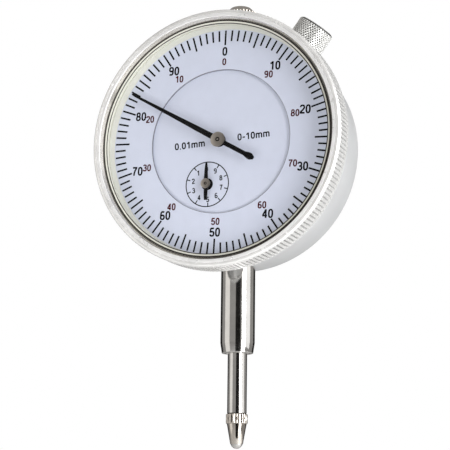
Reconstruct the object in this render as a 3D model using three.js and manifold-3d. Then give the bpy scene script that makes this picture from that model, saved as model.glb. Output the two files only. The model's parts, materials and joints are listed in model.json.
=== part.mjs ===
// Plunger dial indicator: 0.01 mm divisions, 10 mm travel, 60 mm bezel, 8 mm stem, lug back.
// Units are millimetres. +Z is up, the dial faces -Y, and +X is on the reader's right.
// The origin is on the plunger's axis, at the middle of the stretch of stem that a holder clamps.

import * as THREE from 'three';
import * as BufferGeometryUtils from 'three/addons/utils/BufferGeometryUtils.js';
import Module from 'manifold-3d';

const wasm = await Module();
wasm.setup();

// ---------------------------------------------------------------- driving dimensions

const DIAL_Z = 38.8;              // height of the dial's axis above the origin
const GAP = 0.05;                 // play between pieces that touch
const SLIDE_GAP = 0.3;            // play between pieces that turn past each other

// Depths are along Y, from the plunger's axis, and the front is negative.
const CASE_RADIUS = 27.8;
const CASE_BORE = 25.8;
const CASE_FRONT = -10.6;
const CASE_BACK = 6.2;
const CASE_FLOOR_FRONT = 3.4;
const CASE_FLOOR_BACK = 4.8;
const CASE_FLOOR_BORE = 20.5;

const BEZEL_RADIUS = 30.3;
const BEZEL_LIP_RADIUS = 29.2;
const BEZEL_FRONT = -17.5;
const BEZEL_BACK = -10.9;
const SPIGOT_RADIUS = 25.5;
const SPIGOT_BORE = 24.2;
const SPIGOT_BACK = -2.95;
const SNAP_GROOVE_FRONT = -8.05;
const SNAP_GROOVE_BACK = -7.15;
const SNAP_GROOVE_CASE_RADIUS = 26.3;
const SNAP_GROOVE_SPIGOT_RADIUS = 24.85;

const BEZEL_MOUTH_RADIUS = 28.6;
const BEZEL_MOUTH_DEPTH = 0.2;
const BEZEL_BORE = 27.95;
const CRYSTAL_RADIUS = 27.4;
const CRYSTAL_FRONT = -15.75;
const CRYSTAL_BACK = -14.75;
const GASKET_SHELF_RADIUS = 27.15;
const SCALE_FRONT = -12.83;
const SCALE_BACK = -12.43;
const SCALE_RADIUS = 27.2;
const SCALE_BORE = 17.0;
const SCALE_VISIBLE_RADIUS = 26.7;
const DISC_FRONT = -12.33;
const DISC_BACK = -11.73;
const DISC_RADIUS = 17.7;
const DISC_CENTRE_HOLE = 1.0;
const DISC_COUNTER_HOLE = 0.8;

const TRAVEL = 10.4;              // of the plunger, with 0.4 of overtravel
const STEM_RADIUS = 4.0;
const STEM_BORE = 2.6;
const STEM_LOW = -9.0;
const STEM_CHAMFER_HEIGHT = 2.3;
const STEM_CHAMFER_DEPTH = 0.35;
const ROD_RADIUS = 2.25;
const ROD_TOP_RADIUS = 2.0;
const ROD_LOW = -22.9;            // shoulder that the contact point screws up to
const ROD_STEP = DIAL_Z + 11.2;   // where it narrows, still below the upper bush at full travel
const ROD_HIGH = DIAL_Z + 24.3;
const CAP_RADIUS = 4.0;
const CAP_LOW = DIAL_Z + 28.1;
const CAP_HIGH = DIAL_Z + 36.2;

const POINT_COLLAR_RADIUS = 2.5;
const POINT_COLLAR_HEIGHT = 2.3;
const POINT_TAPER_HEIGHT = 4.6;
const POINT_TIP_RADIUS = 1.475;
const BALL_RADIUS = 1.4;
const BALL_BELOW_TIP = 1.05;

// The gear train: rack to 16-tooth pinion, 100-tooth wheel to 10-tooth centre pinion.
// One turn of the counter arbor is 10 mm of plunger travel, and one turn of the hand is 1 mm.
const RACK_PITCH = 0.625;
const RACK_PINION_TEETH = 16;
const WHEEL_TEETH = 100;
const CENTRE_PINION_TEETH = 10;
const COUNTER_X = -3.2;           // arbor places are measured from the dial's axis
const COUNTER_Z = -9.96;
const TAKE_UP_CLOCK = 30;
const HAND_CLOCK = -59.6;         // clock angles are degrees clockwise from up, seen by the reader
const COUNT_HAND_CLOCK = 0.7;
const SCALE_TURN = 2.6;           // how far the scale is turned from upright

const FRONT_PLATE_FRONT = -9.6;
const FRONT_PLATE_BACK = -8.8;
const FRONT_PLATE_RADIUS = 19.5;
const MAIN_PLATE_FRONT = -3.5;
const MAIN_PLATE_BACK = -2.7;
const MAIN_PLATE_RADIUS = 23.0;
const BRIDGE_FRONT = 2.6;
const BRIDGE_BACK = 3.3;
const PIVOT_RADIUS = 0.45;
const ARBOR_RADIUS = 0.65;

const PILLAR_CLOCKS = [110, 255, 330];
const PILLAR_CIRCLE = 17.5;
const BOSS_CLOCKS = [90, 210, 330];
const BOSS_CIRCLE = 21.0;
const BOSS_RADIUS = 2.0;
const DIAL_FOOT_CLOCKS = [60, 180, 300];
const DIAL_FOOT_CIRCLE = 14.5;
const COVER_SCREW_CLOCKS = [45, 135, 225, 315];
const COVER_SCREW_CIRCLE = 23.3;
const COVER_RADIUS = 25.6;
const COVER_BACK = 6.4;
const COVER_PAD_RADIUS = 9.0;
const COVER_PAD_BACK = 7.4;
const LUG_THICKNESS = 5.0;
const LUG_RADIUS = 5.9;
const LUG_HOLE_RADIUS = 3.25;
const LUG_HOLE_DEPTH = 14.5;      // how far behind the plunger's axis the lug's hole is

const CLAMP_CLOCK = 36.5;
const CLAMP_DEPTH = -4.2;
const CLAMP_KNOB_RADIUS = 4.45;
const CLAMP_KNOB_LOW = 28.9;      // radial heights, from the dial's axis
const CLAMP_KNOB_HIGH = 35.05;
const CLAMP_SCREW_RADIUS = 1.4;

const GUIDE_X = 3.2;              // anti-rotation slot beside the rod
const GUIDE_WIDTH = 3.0;
const GUIDE_BACK = 2.2;
const PIN_Z = DIAL_Z + 7.5;
const SPRING_X = 8.6;
const SPRING_POST_Z = DIAL_Z - 9.0;
const SPRING_RADIUS = 1.3;
const SPRING_WIRE_RADIUS = 0.18;
const SPRING_TURNS = 9;

const ROUND = 48;                 // facets round the case, bezel and dial
const TURNED = 24;                // facets round the stem and the rod
const SMALL = 12;                 // facets round arbors and screws

// ---------------------------------------------------------------- finishes

const FINISHES = {
  satin_case: { color: 0xd2d4d8, roughness: 0.5, metalness: 0.7 },
  satin_bezel: { color: 0xe3e4e8, roughness: 0.28, metalness: 0.95 },
  polished_steel: { color: 0xcfccc6, roughness: 0.12, metalness: 1.0 },
  steel: { color: 0xa9aaab, roughness: 0.35, metalness: 1.0 },
  brass: { color: 0xc9a557, roughness: 0.35, metalness: 1.0 },
  dial_face: { color: 0xc8cede, roughness: 0.6, metalness: 0.0 },
  black_paint: { color: 0x0c0c0e, roughness: 0.45, metalness: 0.0 },
  crystal: { color: 0xf4f8fa, roughness: 0.05, metalness: 0.0 },
  gasket: { color: 0xd9d8cc, roughness: 0.6, metalness: 0.0 },
};

// ---------------------------------------------------------------- geometry helpers

const radians = (degrees) => degrees * Math.PI / 180;

// A place on the dial at a clock angle: x to the reader's right and z up, from the dial's axis.
const onClock = (clock, radius) => ({
  x: radius * Math.sin(radians(clock)),
  z: radius * Math.cos(radians(clock)),
});

// Merges shared points, drops collapsed triangles and turns every face outwards.
function closedMesh(geometry) {
  const bare = geometry.clone();
  bare.deleteAttribute('normal');
  bare.deleteAttribute('uv');
  const merged = BufferGeometryUtils.mergeVertices(bare, 1e-5);
  const position = merged.getAttribute('position');
  const corner = [new THREE.Vector3(), new THREE.Vector3(), new THREE.Vector3()];
  const kept = [];
  let volume = 0;
  for (let i = 0; i < merged.index.count; i += 3) {
    const ids = [0, 1, 2].map((k) => merged.index.getX(i + k));
    if (new Set(ids).size < 3) continue;
    ids.forEach((id, k) => corner[k].fromBufferAttribute(position, id));
    volume += corner[0].dot(corner[1].clone().cross(corner[2]));
    kept.push(...ids);
  }
  if (volume < 0) kept.reverse();
  merged.setIndex(kept);
  return merged;
}

function toSolid(geometry) {
  const mesh = closedMesh(geometry);
  return new wasm.Manifold(new wasm.Mesh({
    numProp: 3,
    vertProperties: new Float32Array(mesh.getAttribute('position').array),
    triVerts: new Uint32Array(mesh.index.array),
  }));
}

function toGeometry(solid) {
  const mesh = solid.getMesh();
  const geometry = new THREE.BufferGeometry();
  geometry.setAttribute('position', new THREE.BufferAttribute(mesh.vertProperties, 3));
  geometry.setIndex(new THREE.BufferAttribute(mesh.triVerts, 1));
  return geometry;
}

function cut(geometry, ...tools) {
  return toGeometry(tools.reduce((solid, tool) => solid.subtract(toSolid(tool)), toSolid(geometry)));
}

function join(geometry, ...others) {
  return toGeometry(others.reduce((solid, other) => solid.add(toSolid(other)), toSolid(geometry)));
}

// A turned piece whose axis is the dial's axis. Points are [radius, depth], and a profile that
// doesn't start and end on the axis closes on itself.
function turnedInDepth(points, facets = ROUND) {
  const profile = points.map(([radius, depth]) => new THREE.Vector2(radius, depth));
  if (points[0][0] > 0) profile.push(profile[0].clone());
  return closedMesh(new THREE.LatheGeometry(profile, facets));
}

// A turned piece whose axis is vertical. Points are [radius, height].
const turnedUpright = (points, facets = TURNED) => turnedInDepth(points, facets).rotateX(Math.PI / 2);

// A turned piece whose axis leaves the dial's axis at a clock angle. Points are [radius, distance out].
const turnedRadial = (points, clock, depth, facets = TURNED) =>
  turnedUpright(points, facets).rotateY(radians(clock)).translate(0, depth, 0);

const ring = (inner, outer, front, back, facets = ROUND) =>
  turnedInDepth([[inner, front], [outer, front], [outer, back], [inner, back]], facets);

const cylinderInDepth = (radius, front, back, facets = SMALL) =>
  turnedInDepth([[0, front], [radius, front], [radius, back], [0, back]], facets);

const cylinderUpright = (radius, low, high, facets = SMALL) =>
  turnedUpright([[0, low], [radius, low], [radius, high], [0, high]], facets);

const place = (geometry, { x, z }) => geometry.translate(x, 0, z);

function box(x, y, z) {
  const size = [x, y, z].map(([low, high]) => high - low);
  const centre = [x, y, z].map(([low, high]) => (low + high) / 2);
  return new THREE.BoxGeometry(...size).translate(...centre);
}

// A flat piece parallel to the dial. The shape is drawn as the reader sees it.
function plate(shape, front, back) {
  const options = { depth: back - front, bevelEnabled: false, curveSegments: SMALL };
  return closedMesh(new THREE.ExtrudeGeometry(shape, options)).rotateX(Math.PI / 2).translate(0, back, 0);
}

function circleShape(radius, facets = ROUND) {
  const points = Array.from({ length: facets }, (_, k) => {
    const { x, z } = onClock(-360 * k / facets, radius);
    return new THREE.Vector2(x, z);
  });
  return new THREE.Shape(points);
}

function circleHole(centre, radius, facets = SMALL) {
  const points = circleShape(radius, facets).getPoints();
  return new THREE.Path(points.map((point) => new THREE.Vector2(point.x + centre.x, point.y + centre.z)));
}

// A pointed outline that runs along a clock angle, the same on both sides of its centre line.
// Stations are [distance from the hub, half width].
function taperShape(stations, clock) {
  const side = (sign) => stations.map(([distance, half]) => {
    const out = onClock(clock, distance);
    const across = onClock(clock + 90, sign * half);
    return new THREE.Vector2(out.x + across.x, out.z + across.z);
  });
  return new THREE.Shape([...side(1), ...side(-1).reverse()]);
}

// ---------------------------------------------------------------- gears

const MODULE = 2 * Math.hypot(COUNTER_X, COUNTER_Z) / (WHEEL_TEETH + CENTRE_PINION_TEETH);
const RACK_MODULE = RACK_PITCH / Math.PI;
const RACK_PITCH_RADIUS = RACK_MODULE * RACK_PINION_TEETH / 2;
const RACK_PITCH_X = COUNTER_X + RACK_PITCH_RADIUS;
const TAKE_UP = onClock(TAKE_UP_CLOCK, Math.hypot(COUNTER_X, COUNTER_Z));
const COUNTER = { x: COUNTER_X, z: COUNTER_Z };
const CENTRE = { x: 0, z: 0 };
const MAIN_HAND = { front: -14.1, back: -13.92 };
const COUNT_HAND = { front: -13.28, back: -13.12 };

// Tooth heights in modules, and tooth half widths as shares of the pitch.
const TOOTH = { addendum: 0.75, dedendum: 1.15, tipShare: 0.1, rootShare: 0.25 };

// The outline of a toothed wheel with one tooth centred at startAngle, counter-clockwise from +X.
function gearShape(teeth, module, startAngle) {
  const pitchRadius = module * teeth / 2;
  const step = 2 * Math.PI / teeth;
  const corners = [
    [pitchRadius - TOOTH.dedendum * module, -TOOTH.rootShare],
    [pitchRadius + TOOTH.addendum * module, -TOOTH.tipShare],
    [pitchRadius + TOOTH.addendum * module, TOOTH.tipShare],
    [pitchRadius - TOOTH.dedendum * module, TOOTH.rootShare],
  ];
  const points = [];
  for (let tooth = 0; tooth < teeth; tooth += 1) {
    for (const [radius, share] of corners) {
      const angle = startAngle + step * (tooth + share);
      points.push(new THREE.Vector2(radius * Math.cos(angle), radius * Math.sin(angle)));
    }
  }
  return new THREE.Shape(points);
}

// The start angle of a wheel that meshes with another one, given the direction from the first to it.
function meshingAngle(teeth, startAngle, direction, otherTeeth) {
  return direction + Math.PI - (startAngle - direction) * teeth / otherTeeth - Math.PI / otherTeeth;
}

const direction = (from, to) => Math.atan2(to.z - from.z, to.x - from.x);

const CENTRE_PINION_ANGLE = direction(CENTRE, COUNTER) + Math.PI / CENTRE_PINION_TEETH;
const wheelAngle = (arbor) =>
  meshingAngle(CENTRE_PINION_TEETH, CENTRE_PINION_ANGLE, direction(CENTRE, arbor), WHEEL_TEETH);

// A thin 100-tooth wheel with four windows that leave a rim, four arms and a hub.
function spokedWheel(arbor, { front, back }) {
  const shape = gearShape(WHEEL_TEETH, MODULE, wheelAngle(arbor));
  shape.holes.push(circleHole(CENTRE, ARBOR_RADIUS + GAP));
  const outer = 7.6;
  const inner = 3.0;
  const armHalfAngle = 14;
  for (let window = 0; window < 4; window += 1) {
    const clocks = [0, 1, 2, 3, 4].map((k) => 90 * window + armHalfAngle + (90 - 2 * armHalfAngle) * k / 4);
    const rim = clocks.map((clock) => onClock(clock, outer));
    const hub = clocks.slice(1, -1).map((clock) => onClock(clock, inner)).reverse();
    shape.holes.push(new THREE.Path([...rim, ...hub].map(({ x, z }) => new THREE.Vector2(x, z))));
  }
  return place(plate(shape, front, back), arbor);
}

// ---------------------------------------------------------------- case and stem

function caseBody() {
  const edge = 1.0;
  const shell = turnedInDepth([
    [CASE_RADIUS, CASE_FRONT], [CASE_RADIUS, CASE_BACK - edge],
    [CASE_RADIUS - 0.3 * edge, CASE_BACK - 0.3 * edge], [CASE_RADIUS - edge, CASE_BACK],
    [CASE_BORE - GAP, CASE_BACK], [CASE_BORE - GAP, CASE_FLOOR_BACK],
    [CASE_FLOOR_BORE, CASE_FLOOR_BACK], [CASE_FLOOR_BORE, CASE_FLOOR_FRONT],
    [CASE_BORE, CASE_FLOOR_FRONT], [CASE_BORE, SNAP_GROOVE_BACK],
    [SNAP_GROOVE_CASE_RADIUS, SNAP_GROOVE_BACK], [SNAP_GROOVE_CASE_RADIUS, SNAP_GROOVE_FRONT],
    [CASE_BORE, SNAP_GROOVE_FRONT], [CASE_BORE, CASE_FRONT],
  ]);
  const bossFront = MAIN_PLATE_BACK + GAP;
  const bosses = BOSS_CLOCKS.map((clock) =>
    place(cylinderInDepth(BOSS_RADIUS, bossFront, CASE_FLOOR_FRONT + 0.5), onClock(clock, BOSS_CIRCLE)));
  const bossHoles = BOSS_CLOCKS.map((clock) =>
    place(cylinderInDepth(MOVEMENT_SCREW.shank + GAP, bossFront - 1, 1.5), onClock(clock, BOSS_CIRCLE)));
  const coverHoles = COVER_SCREW_CLOCKS.map((clock) =>
    place(cylinderInDepth(COVER_SCREW.shank + GAP, 3, 5), onClock(clock, COVER_SCREW_CIRCLE)));
  const stemHole = cylinderUpright(STEM_RADIUS + GAP, -CASE_RADIUS - 1, -CASE_BORE + 1, TURNED);
  const bushHole = cylinderUpright(BUSH_THREAD_RADIUS + GAP, CASE_BORE - 1, CASE_RADIUS + 1, TURNED);
  const clampHole = turnedRadial(
    [[0, CASE_BORE - 1], [CLAMP_SCREW_RADIUS + 0.1, CASE_BORE - 1],
      [CLAMP_SCREW_RADIUS + 0.1, CASE_RADIUS + 1], [0, CASE_RADIUS + 1]],
    CLAMP_CLOCK, CLAMP_DEPTH, SMALL);
  const holes = [...bossHoles, ...coverHoles, stemHole, bushHole, clampHole, shoePocket()];
  return cut(join(shell, ...bosses), ...holes);
}

function stem() {
  const high = DIAL_Z - CASE_BORE - GAP;
  return turnedUpright([
    [STEM_BORE, STEM_LOW], [STEM_RADIUS - STEM_CHAMFER_DEPTH, STEM_LOW],
    [STEM_RADIUS, STEM_LOW + STEM_CHAMFER_HEIGHT], [STEM_RADIUS, high], [STEM_BORE, high],
  ]);
}

function lowerBush() {
  const inner = ROD_RADIUS + GAP;
  const outer = STEM_BORE - GAP;
  const low = STEM_LOW + 0.3;
  const high = low + LOWER_BUSH_LENGTH;
  return turnedUpright([[inner, low], [outer, low], [outer, high], [inner, high]]);
}

const LOWER_BUSH_LENGTH = 9.0;
const BUSH_THREAD_RADIUS = 3.0;
const BUSH_NOSE_RADIUS = 2.55;
const BUSH = { low: 22.0, threadLow: 25.9, threadHigh: 28.0, high: 30.0 };

// Threaded through the case's top wall, with a nose inside that guides the top of the rod.
function upperBush() {
  const bore = ROD_TOP_RADIUS + GAP;
  return turnedUpright([
    [bore, BUSH.low], [BUSH_NOSE_RADIUS, BUSH.low], [BUSH_NOSE_RADIUS, BUSH.threadLow],
    [BUSH_THREAD_RADIUS, BUSH.threadLow], [BUSH_THREAD_RADIUS, BUSH.threadHigh],
    [BUSH_NOSE_RADIUS, BUSH.threadHigh], [BUSH_NOSE_RADIUS, BUSH.high], [bore, BUSH.high],
  ]);
}

function topCap() {
  const chamferHeight = 1.2;
  const chamferDepth = 1.5;
  const wallTop = CAP_HIGH - 0.8;
  const bushTop = DIAL_Z + BUSH.high + 0.2;
  return turnedUpright([
    [0, CAP_HIGH], [CAP_RADIUS - chamferDepth, CAP_HIGH], [CAP_RADIUS, CAP_HIGH - chamferHeight],
    [CAP_RADIUS, CAP_LOW], [BUSH_NOSE_RADIUS + GAP, CAP_LOW], [BUSH_NOSE_RADIUS + GAP, bushTop],
    [ROD_TOP_RADIUS + SLIDE_GAP, bushTop], [ROD_TOP_RADIUS + SLIDE_GAP, wallTop], [0, wallTop],
  ]);
}

// ---------------------------------------------------------------- back cover and screws

const COVER_SCREW = { head: 1.6, headHeight: 0.8, shank: 0.75, length: 2.2 };
const MOVEMENT_SCREW = { head: 1.3, headHeight: 0.7, shank: 0.6, length: 3.0 };

// A slotted screw that points along +Y when sign is 1. The head lies against the face at depth.
function screw({ head, headHeight, shank, length }, faceDepth, sign, at) {
  const top = faceDepth - sign * headHeight;
  const body = turnedInDepth([
    [0, top], [head, top], [head, faceDepth], [shank, faceDepth],
    [shank, faceDepth + sign * length], [0, faceDepth + sign * length],
  ], SMALL);
  const slotHalf = 0.18 * head;
  const slotDepth = [top - headHeight / 2, top + headHeight / 2];
  const slot = box([-2 * head, 2 * head], slotDepth, [-slotHalf, slotHalf]);
  return place(cut(body, slot), at);
}

function backCover() {
  const front = CASE_FLOOR_BACK + GAP;
  const disc = turnedInDepth([
    [0, front], [COVER_RADIUS, front], [COVER_RADIUS, COVER_BACK - 0.3], [COVER_RADIUS - 0.3, COVER_BACK],
    [COVER_PAD_RADIUS + 0.5, COVER_BACK], [COVER_PAD_RADIUS, COVER_PAD_BACK], [0, COVER_PAD_BACK],
  ]);
  const ear = new THREE.Shape();
  ear.moveTo(COVER_BACK, -LUG_RADIUS);
  ear.lineTo(LUG_HOLE_DEPTH, -LUG_RADIUS);
  ear.absarc(LUG_HOLE_DEPTH, 0, LUG_RADIUS, -Math.PI / 2, Math.PI / 2, false);
  ear.lineTo(COVER_BACK, LUG_RADIUS);
  ear.holes.push(circleHole({ x: LUG_HOLE_DEPTH, z: 0 }, LUG_HOLE_RADIUS, TURNED));
  const options = { depth: LUG_THICKNESS, bevelEnabled: false, curveSegments: SMALL };
  const lug = new THREE.ExtrudeGeometry(ear, options);
  // The ear is drawn in depth and height, and stands parallel to the YZ plane.
  lug.rotateX(Math.PI / 2).rotateZ(Math.PI / 2).translate(-LUG_THICKNESS / 2, 0, 0);
  const holes = COVER_SCREW_CLOCKS.flatMap((clock) => {
    const at = onClock(clock, COVER_SCREW_CIRCLE);
    const recess = COVER_BACK - COVER_SCREW.headHeight - GAP;
    return [
      place(cylinderInDepth(COVER_SCREW.shank + GAP, front - 1, COVER_BACK + 1), at),
      place(cylinderInDepth(COVER_SCREW.head + GAP, recess, COVER_BACK + 1), at),
    ];
  });
  return cut(join(disc, lug), ...holes);
}

// ---------------------------------------------------------------- bezel, crystal and dial

function bezelRing() {
  return turnedInDepth([
    [SPIGOT_BORE, SPIGOT_BACK], [SPIGOT_RADIUS, SPIGOT_BACK], [SPIGOT_RADIUS, SNAP_GROOVE_BACK],
    [SNAP_GROOVE_SPIGOT_RADIUS, SNAP_GROOVE_BACK], [SNAP_GROOVE_SPIGOT_RADIUS, SNAP_GROOVE_FRONT],
    [SPIGOT_RADIUS, SNAP_GROOVE_FRONT], [SPIGOT_RADIUS, BEZEL_BACK], [BEZEL_RADIUS, BEZEL_BACK],
    [BEZEL_RADIUS, BEZEL_FRONT + 1.1], [BEZEL_RADIUS - 0.4, BEZEL_FRONT + 0.4],
    [BEZEL_LIP_RADIUS, BEZEL_FRONT], [BEZEL_MOUTH_RADIUS, BEZEL_FRONT + BEZEL_MOUTH_DEPTH],
    [BEZEL_BORE, CRYSTAL_FRONT], [BEZEL_BORE, SCALE_BACK + GAP], [SPIGOT_BORE, SCALE_BACK + GAP],
  ]);
}

// The sloped ring that holds the scale down, with a shelf and a thin wall round the crystal.
function crystalGasket() {
  const outer = BEZEL_BORE - GAP;
  return turnedInDepth([
    [SCALE_VISIBLE_RADIUS, SCALE_FRONT - GAP], [outer, SCALE_FRONT - GAP], [outer, CRYSTAL_FRONT],
    [CRYSTAL_RADIUS + GAP, CRYSTAL_FRONT], [CRYSTAL_RADIUS + GAP, CRYSTAL_BACK + GAP],
    [GASKET_SHELF_RADIUS, CRYSTAL_BACK + GAP],
  ]);
}

function crystal() {
  const edge = 0.15;
  return turnedInDepth([
    [0, CRYSTAL_FRONT], [CRYSTAL_RADIUS - edge, CRYSTAL_FRONT], [CRYSTAL_RADIUS, CRYSTAL_FRONT + edge],
    [CRYSTAL_RADIUS, CRYSTAL_BACK], [0, CRYSTAL_BACK],
  ]);
}

// An open wire ring that sits half in the spigot's groove and half in the case's.
function snapRing() {
  const front = SNAP_GROOVE_FRONT + GAP;
  const back = SNAP_GROOVE_BACK - GAP;
  const halfOpening = 1.5;
  const whole = ring(SNAP_GROOVE_SPIGOT_RADIUS + 0.1, SNAP_GROOVE_CASE_RADIUS - 0.15, front, back);
  return cut(whole, box([-halfOpening, halfOpening], [front - 1, back + 1], [-CASE_RADIUS, 0]));
}

function scaleRing() {
  return ring(SCALE_BORE, SCALE_RADIUS, SCALE_FRONT, SCALE_BACK).rotateY(radians(SCALE_TURN));
}

function innerDial() {
  const shape = circleShape(DISC_RADIUS);
  shape.holes.push(circleHole(CENTRE, DISC_CENTRE_HOLE), circleHole(COUNTER, DISC_COUNTER_HOLE));
  return plate(shape, DISC_FRONT, DISC_BACK);
}

// ---------------------------------------------------------------- movement frame

function frontPlate() {
  const shape = circleShape(FRONT_PLATE_RADIUS);
  for (const arbor of [CENTRE, COUNTER, TAKE_UP]) {
    shape.holes.push(circleHole(arbor, PIVOT_RADIUS + GAP));
  }
  for (const clock of PILLAR_CLOCKS) {
    shape.holes.push(circleHole(onClock(clock, PILLAR_CIRCLE), MOVEMENT_SCREW.shank + GAP));
  }
  return plate(shape, FRONT_PLATE_FRONT, FRONT_PLATE_BACK);
}

function mainPlate() {
  const shape = circleShape(MAIN_PLATE_RADIUS);
  shape.holes.push(circleHole(CENTRE, PIVOT_RADIUS + GAP));
  shape.holes.push(circleHole(TAKE_UP, PIVOT_RADIUS + GAP));
  shape.holes.push(circleHole(COUNTER, ARBOR_RADIUS + SLIDE_GAP));
  for (const clock of BOSS_CLOCKS) {
    shape.holes.push(circleHole(onClock(clock, BOSS_CIRCLE), MOVEMENT_SCREW.shank + GAP));
  }
  return plate(shape, MAIN_PLATE_FRONT, MAIN_PLATE_BACK);
}

function movementPillar(clock) {
  const radius = 1.6;
  const hole = MOVEMENT_SCREW.shank + GAP;
  const front = FRONT_PLATE_BACK + GAP;
  const back = MAIN_PLATE_FRONT - GAP;
  const holeEnd = front + MOVEMENT_SCREW.length + 0.2;
  const turned = turnedInDepth([
    [0, back], [radius, back], [radius, front], [hole, front], [hole, holeEnd], [0, holeEnd],
  ], SMALL);
  return place(turned, onClock(clock, PILLAR_CIRCLE));
}

function dialFoot(clock) {
  const foot = cylinderInDepth(1.2, DISC_BACK + GAP, FRONT_PLATE_FRONT - GAP);
  return place(foot, onClock(clock, DIAL_FOOT_CIRCLE));
}

const BRIDGE_POST_RADIUS = 1.3;
const BRIDGE_REACH = 5.0;         // from the posts to the arbor
const BRIDGE_POST_OFFSET = 4.6;   // each post is this far above or below the arbor
const BRIDGE_POSTS = [1, -1].map((side) =>
  ({ x: COUNTER_X - BRIDGE_REACH, z: COUNTER_Z + side * BRIDGE_POST_OFFSET }));

// Behind the rod: carries the back pivot of the counter arbor on two posts.
function counterBridge() {
  const wide = BRIDGE_POST_OFFSET + 1.8;
  const arm = taperShape([
    [-1.9, wide - 1.4], [-0.5, wide], [1.2, wide], [BRIDGE_REACH, 2.2], [BRIDGE_REACH + 1.5, 1.4],
  ], 90);
  arm.holes.push(circleHole({ x: BRIDGE_REACH, z: 0 }, PIVOT_RADIUS + GAP));
  for (const side of [-1, 1]) {
    arm.holes.push(circleHole({ x: 0, z: BRIDGE_POST_OFFSET * side }, MOVEMENT_SCREW.shank + GAP));
  }
  return plate(arm, BRIDGE_FRONT, BRIDGE_BACK).translate(COUNTER_X - BRIDGE_REACH, 0, COUNTER_Z);
}

function bridgePost(at) {
  const hole = MOVEMENT_SCREW.shank + GAP;
  const front = MAIN_PLATE_BACK + GAP;
  const back = BRIDGE_FRONT - GAP;
  const holeEnd = back - MOVEMENT_SCREW.length + 0.3;
  const post = turnedInDepth([
    [0, front], [BRIDGE_POST_RADIUS, front], [BRIDGE_POST_RADIUS, back], [hole, back], [hole, holeEnd],
    [0, holeEnd],
  ], SMALL);
  return place(post, at);
}

// A bar with a slot that lets the guide pin slide up and down and keeps the rod from turning.
function guideRail() {
  const halfSlot = PIN.radius + GAP;
  const low = PIN_Z - DIAL_Z - 1.2;
  const high = low + TRAVEL + 2.8;
  const end = 1.6;
  const right = GUIDE_X + GUIDE_WIDTH;
  const bar = box([GUIDE_X, right], [MAIN_PLATE_BACK + GAP, GUIDE_BACK], [low - end, high + end]);
  const slot = box([GUIDE_X - 1, right + 1], [-halfSlot, halfSlot], [low, high]);
  return cut(bar, slot);
}

function springPost() {
  return cylinderInDepth(0.7, MAIN_PLATE_BACK + GAP, 1.2).translate(SPRING_X, 0, SPRING_POST_Z - DIAL_Z);
}

// A close coil that pulls the plunger down, from above its post to below the guide pin.
function returnSpring() {
  const low = SPRING_POST_Z + 1.0;
  const high = PIN_Z - PIN.radius - 0.4;
  class Helix extends THREE.Curve {
    getPoint(t, target = new THREE.Vector3()) {
      const angle = 2 * Math.PI * SPRING_TURNS * t;
      const x = SPRING_X + SPRING_RADIUS * Math.cos(angle);
      return target.set(x, SPRING_RADIUS * Math.sin(angle), low + (high - low) * t);
    }
  }
  const wire = circleShape(SPRING_WIRE_RADIUS, 4);
  return closedMesh(new THREE.ExtrudeGeometry(wire, {
    steps: SPRING_TURNS * 8, extrudePath: new Helix(), bevelEnabled: false,
  }));
}

// ---------------------------------------------------------------- plunger

const PIN = { radius: 0.8, length: 9.6 };
const POINT_STUB = { radius: 1.2, length: 4.0 };

function plungerRod() {
  const hole = POINT_STUB.radius + GAP;
  const holeEnd = ROD_LOW + POINT_STUB.length + 0.2;
  const blank = turnedUpright([
    [0, holeEnd], [hole, holeEnd], [hole, ROD_LOW], [ROD_RADIUS, ROD_LOW],
    [ROD_RADIUS, ROD_STEP], [ROD_TOP_RADIUS, ROD_STEP], [ROD_TOP_RADIUS, ROD_HIGH - 0.4],
    [ROD_TOP_RADIUS - 0.4, ROD_HIGH], [0, ROD_HIGH],
  ]);
  const pinHole = new THREE.CylinderGeometry(PIN.radius + GAP, PIN.radius + GAP, 4, SMALL)
    .rotateZ(Math.PI / 2).translate(2.5, 0, PIN_Z);
  return cut(blank, rackCutter(), pinHole);
}

// Everything to the left of the rack's outline, over the length that passes the pinion.
function rackCutter() {
  const teethBelow = 20;
  const teethAbove = 3;
  const tip = RACK_PITCH_X - TOOTH.addendum * RACK_MODULE;
  const root = RACK_PITCH_X + TOOTH.dedendum * RACK_MODULE;
  const far = -ROD_RADIUS - 1;
  const outline = [];
  for (let tooth = -teethBelow; tooth <= teethAbove; tooth += 1) {
    const z = DIAL_Z + COUNTER_Z + tooth * RACK_PITCH;
    outline.push([root, z - TOOTH.rootShare * RACK_PITCH], [tip, z - TOOTH.tipShare * RACK_PITCH]);
    outline.push([tip, z + TOOTH.tipShare * RACK_PITCH], [root, z + TOOTH.rootShare * RACK_PITCH]);
  }
  const low = outline[0][1];
  const high = outline.at(-1)[1];
  const points = [[far, low], ...outline, [far, high]].map(([x, z]) => new THREE.Vector2(x, z));
  return plate(new THREE.Shape(points), -ROD_RADIUS - 1, ROD_RADIUS + 1);
}

function guidePin() {
  const start = 0.7;
  const pin = new THREE.CylinderGeometry(PIN.radius, PIN.radius, PIN.length - start, SMALL);
  return closedMesh(pin).rotateZ(Math.PI / 2).translate((PIN.length + start) / 2, 0, PIN_Z);
}

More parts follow.
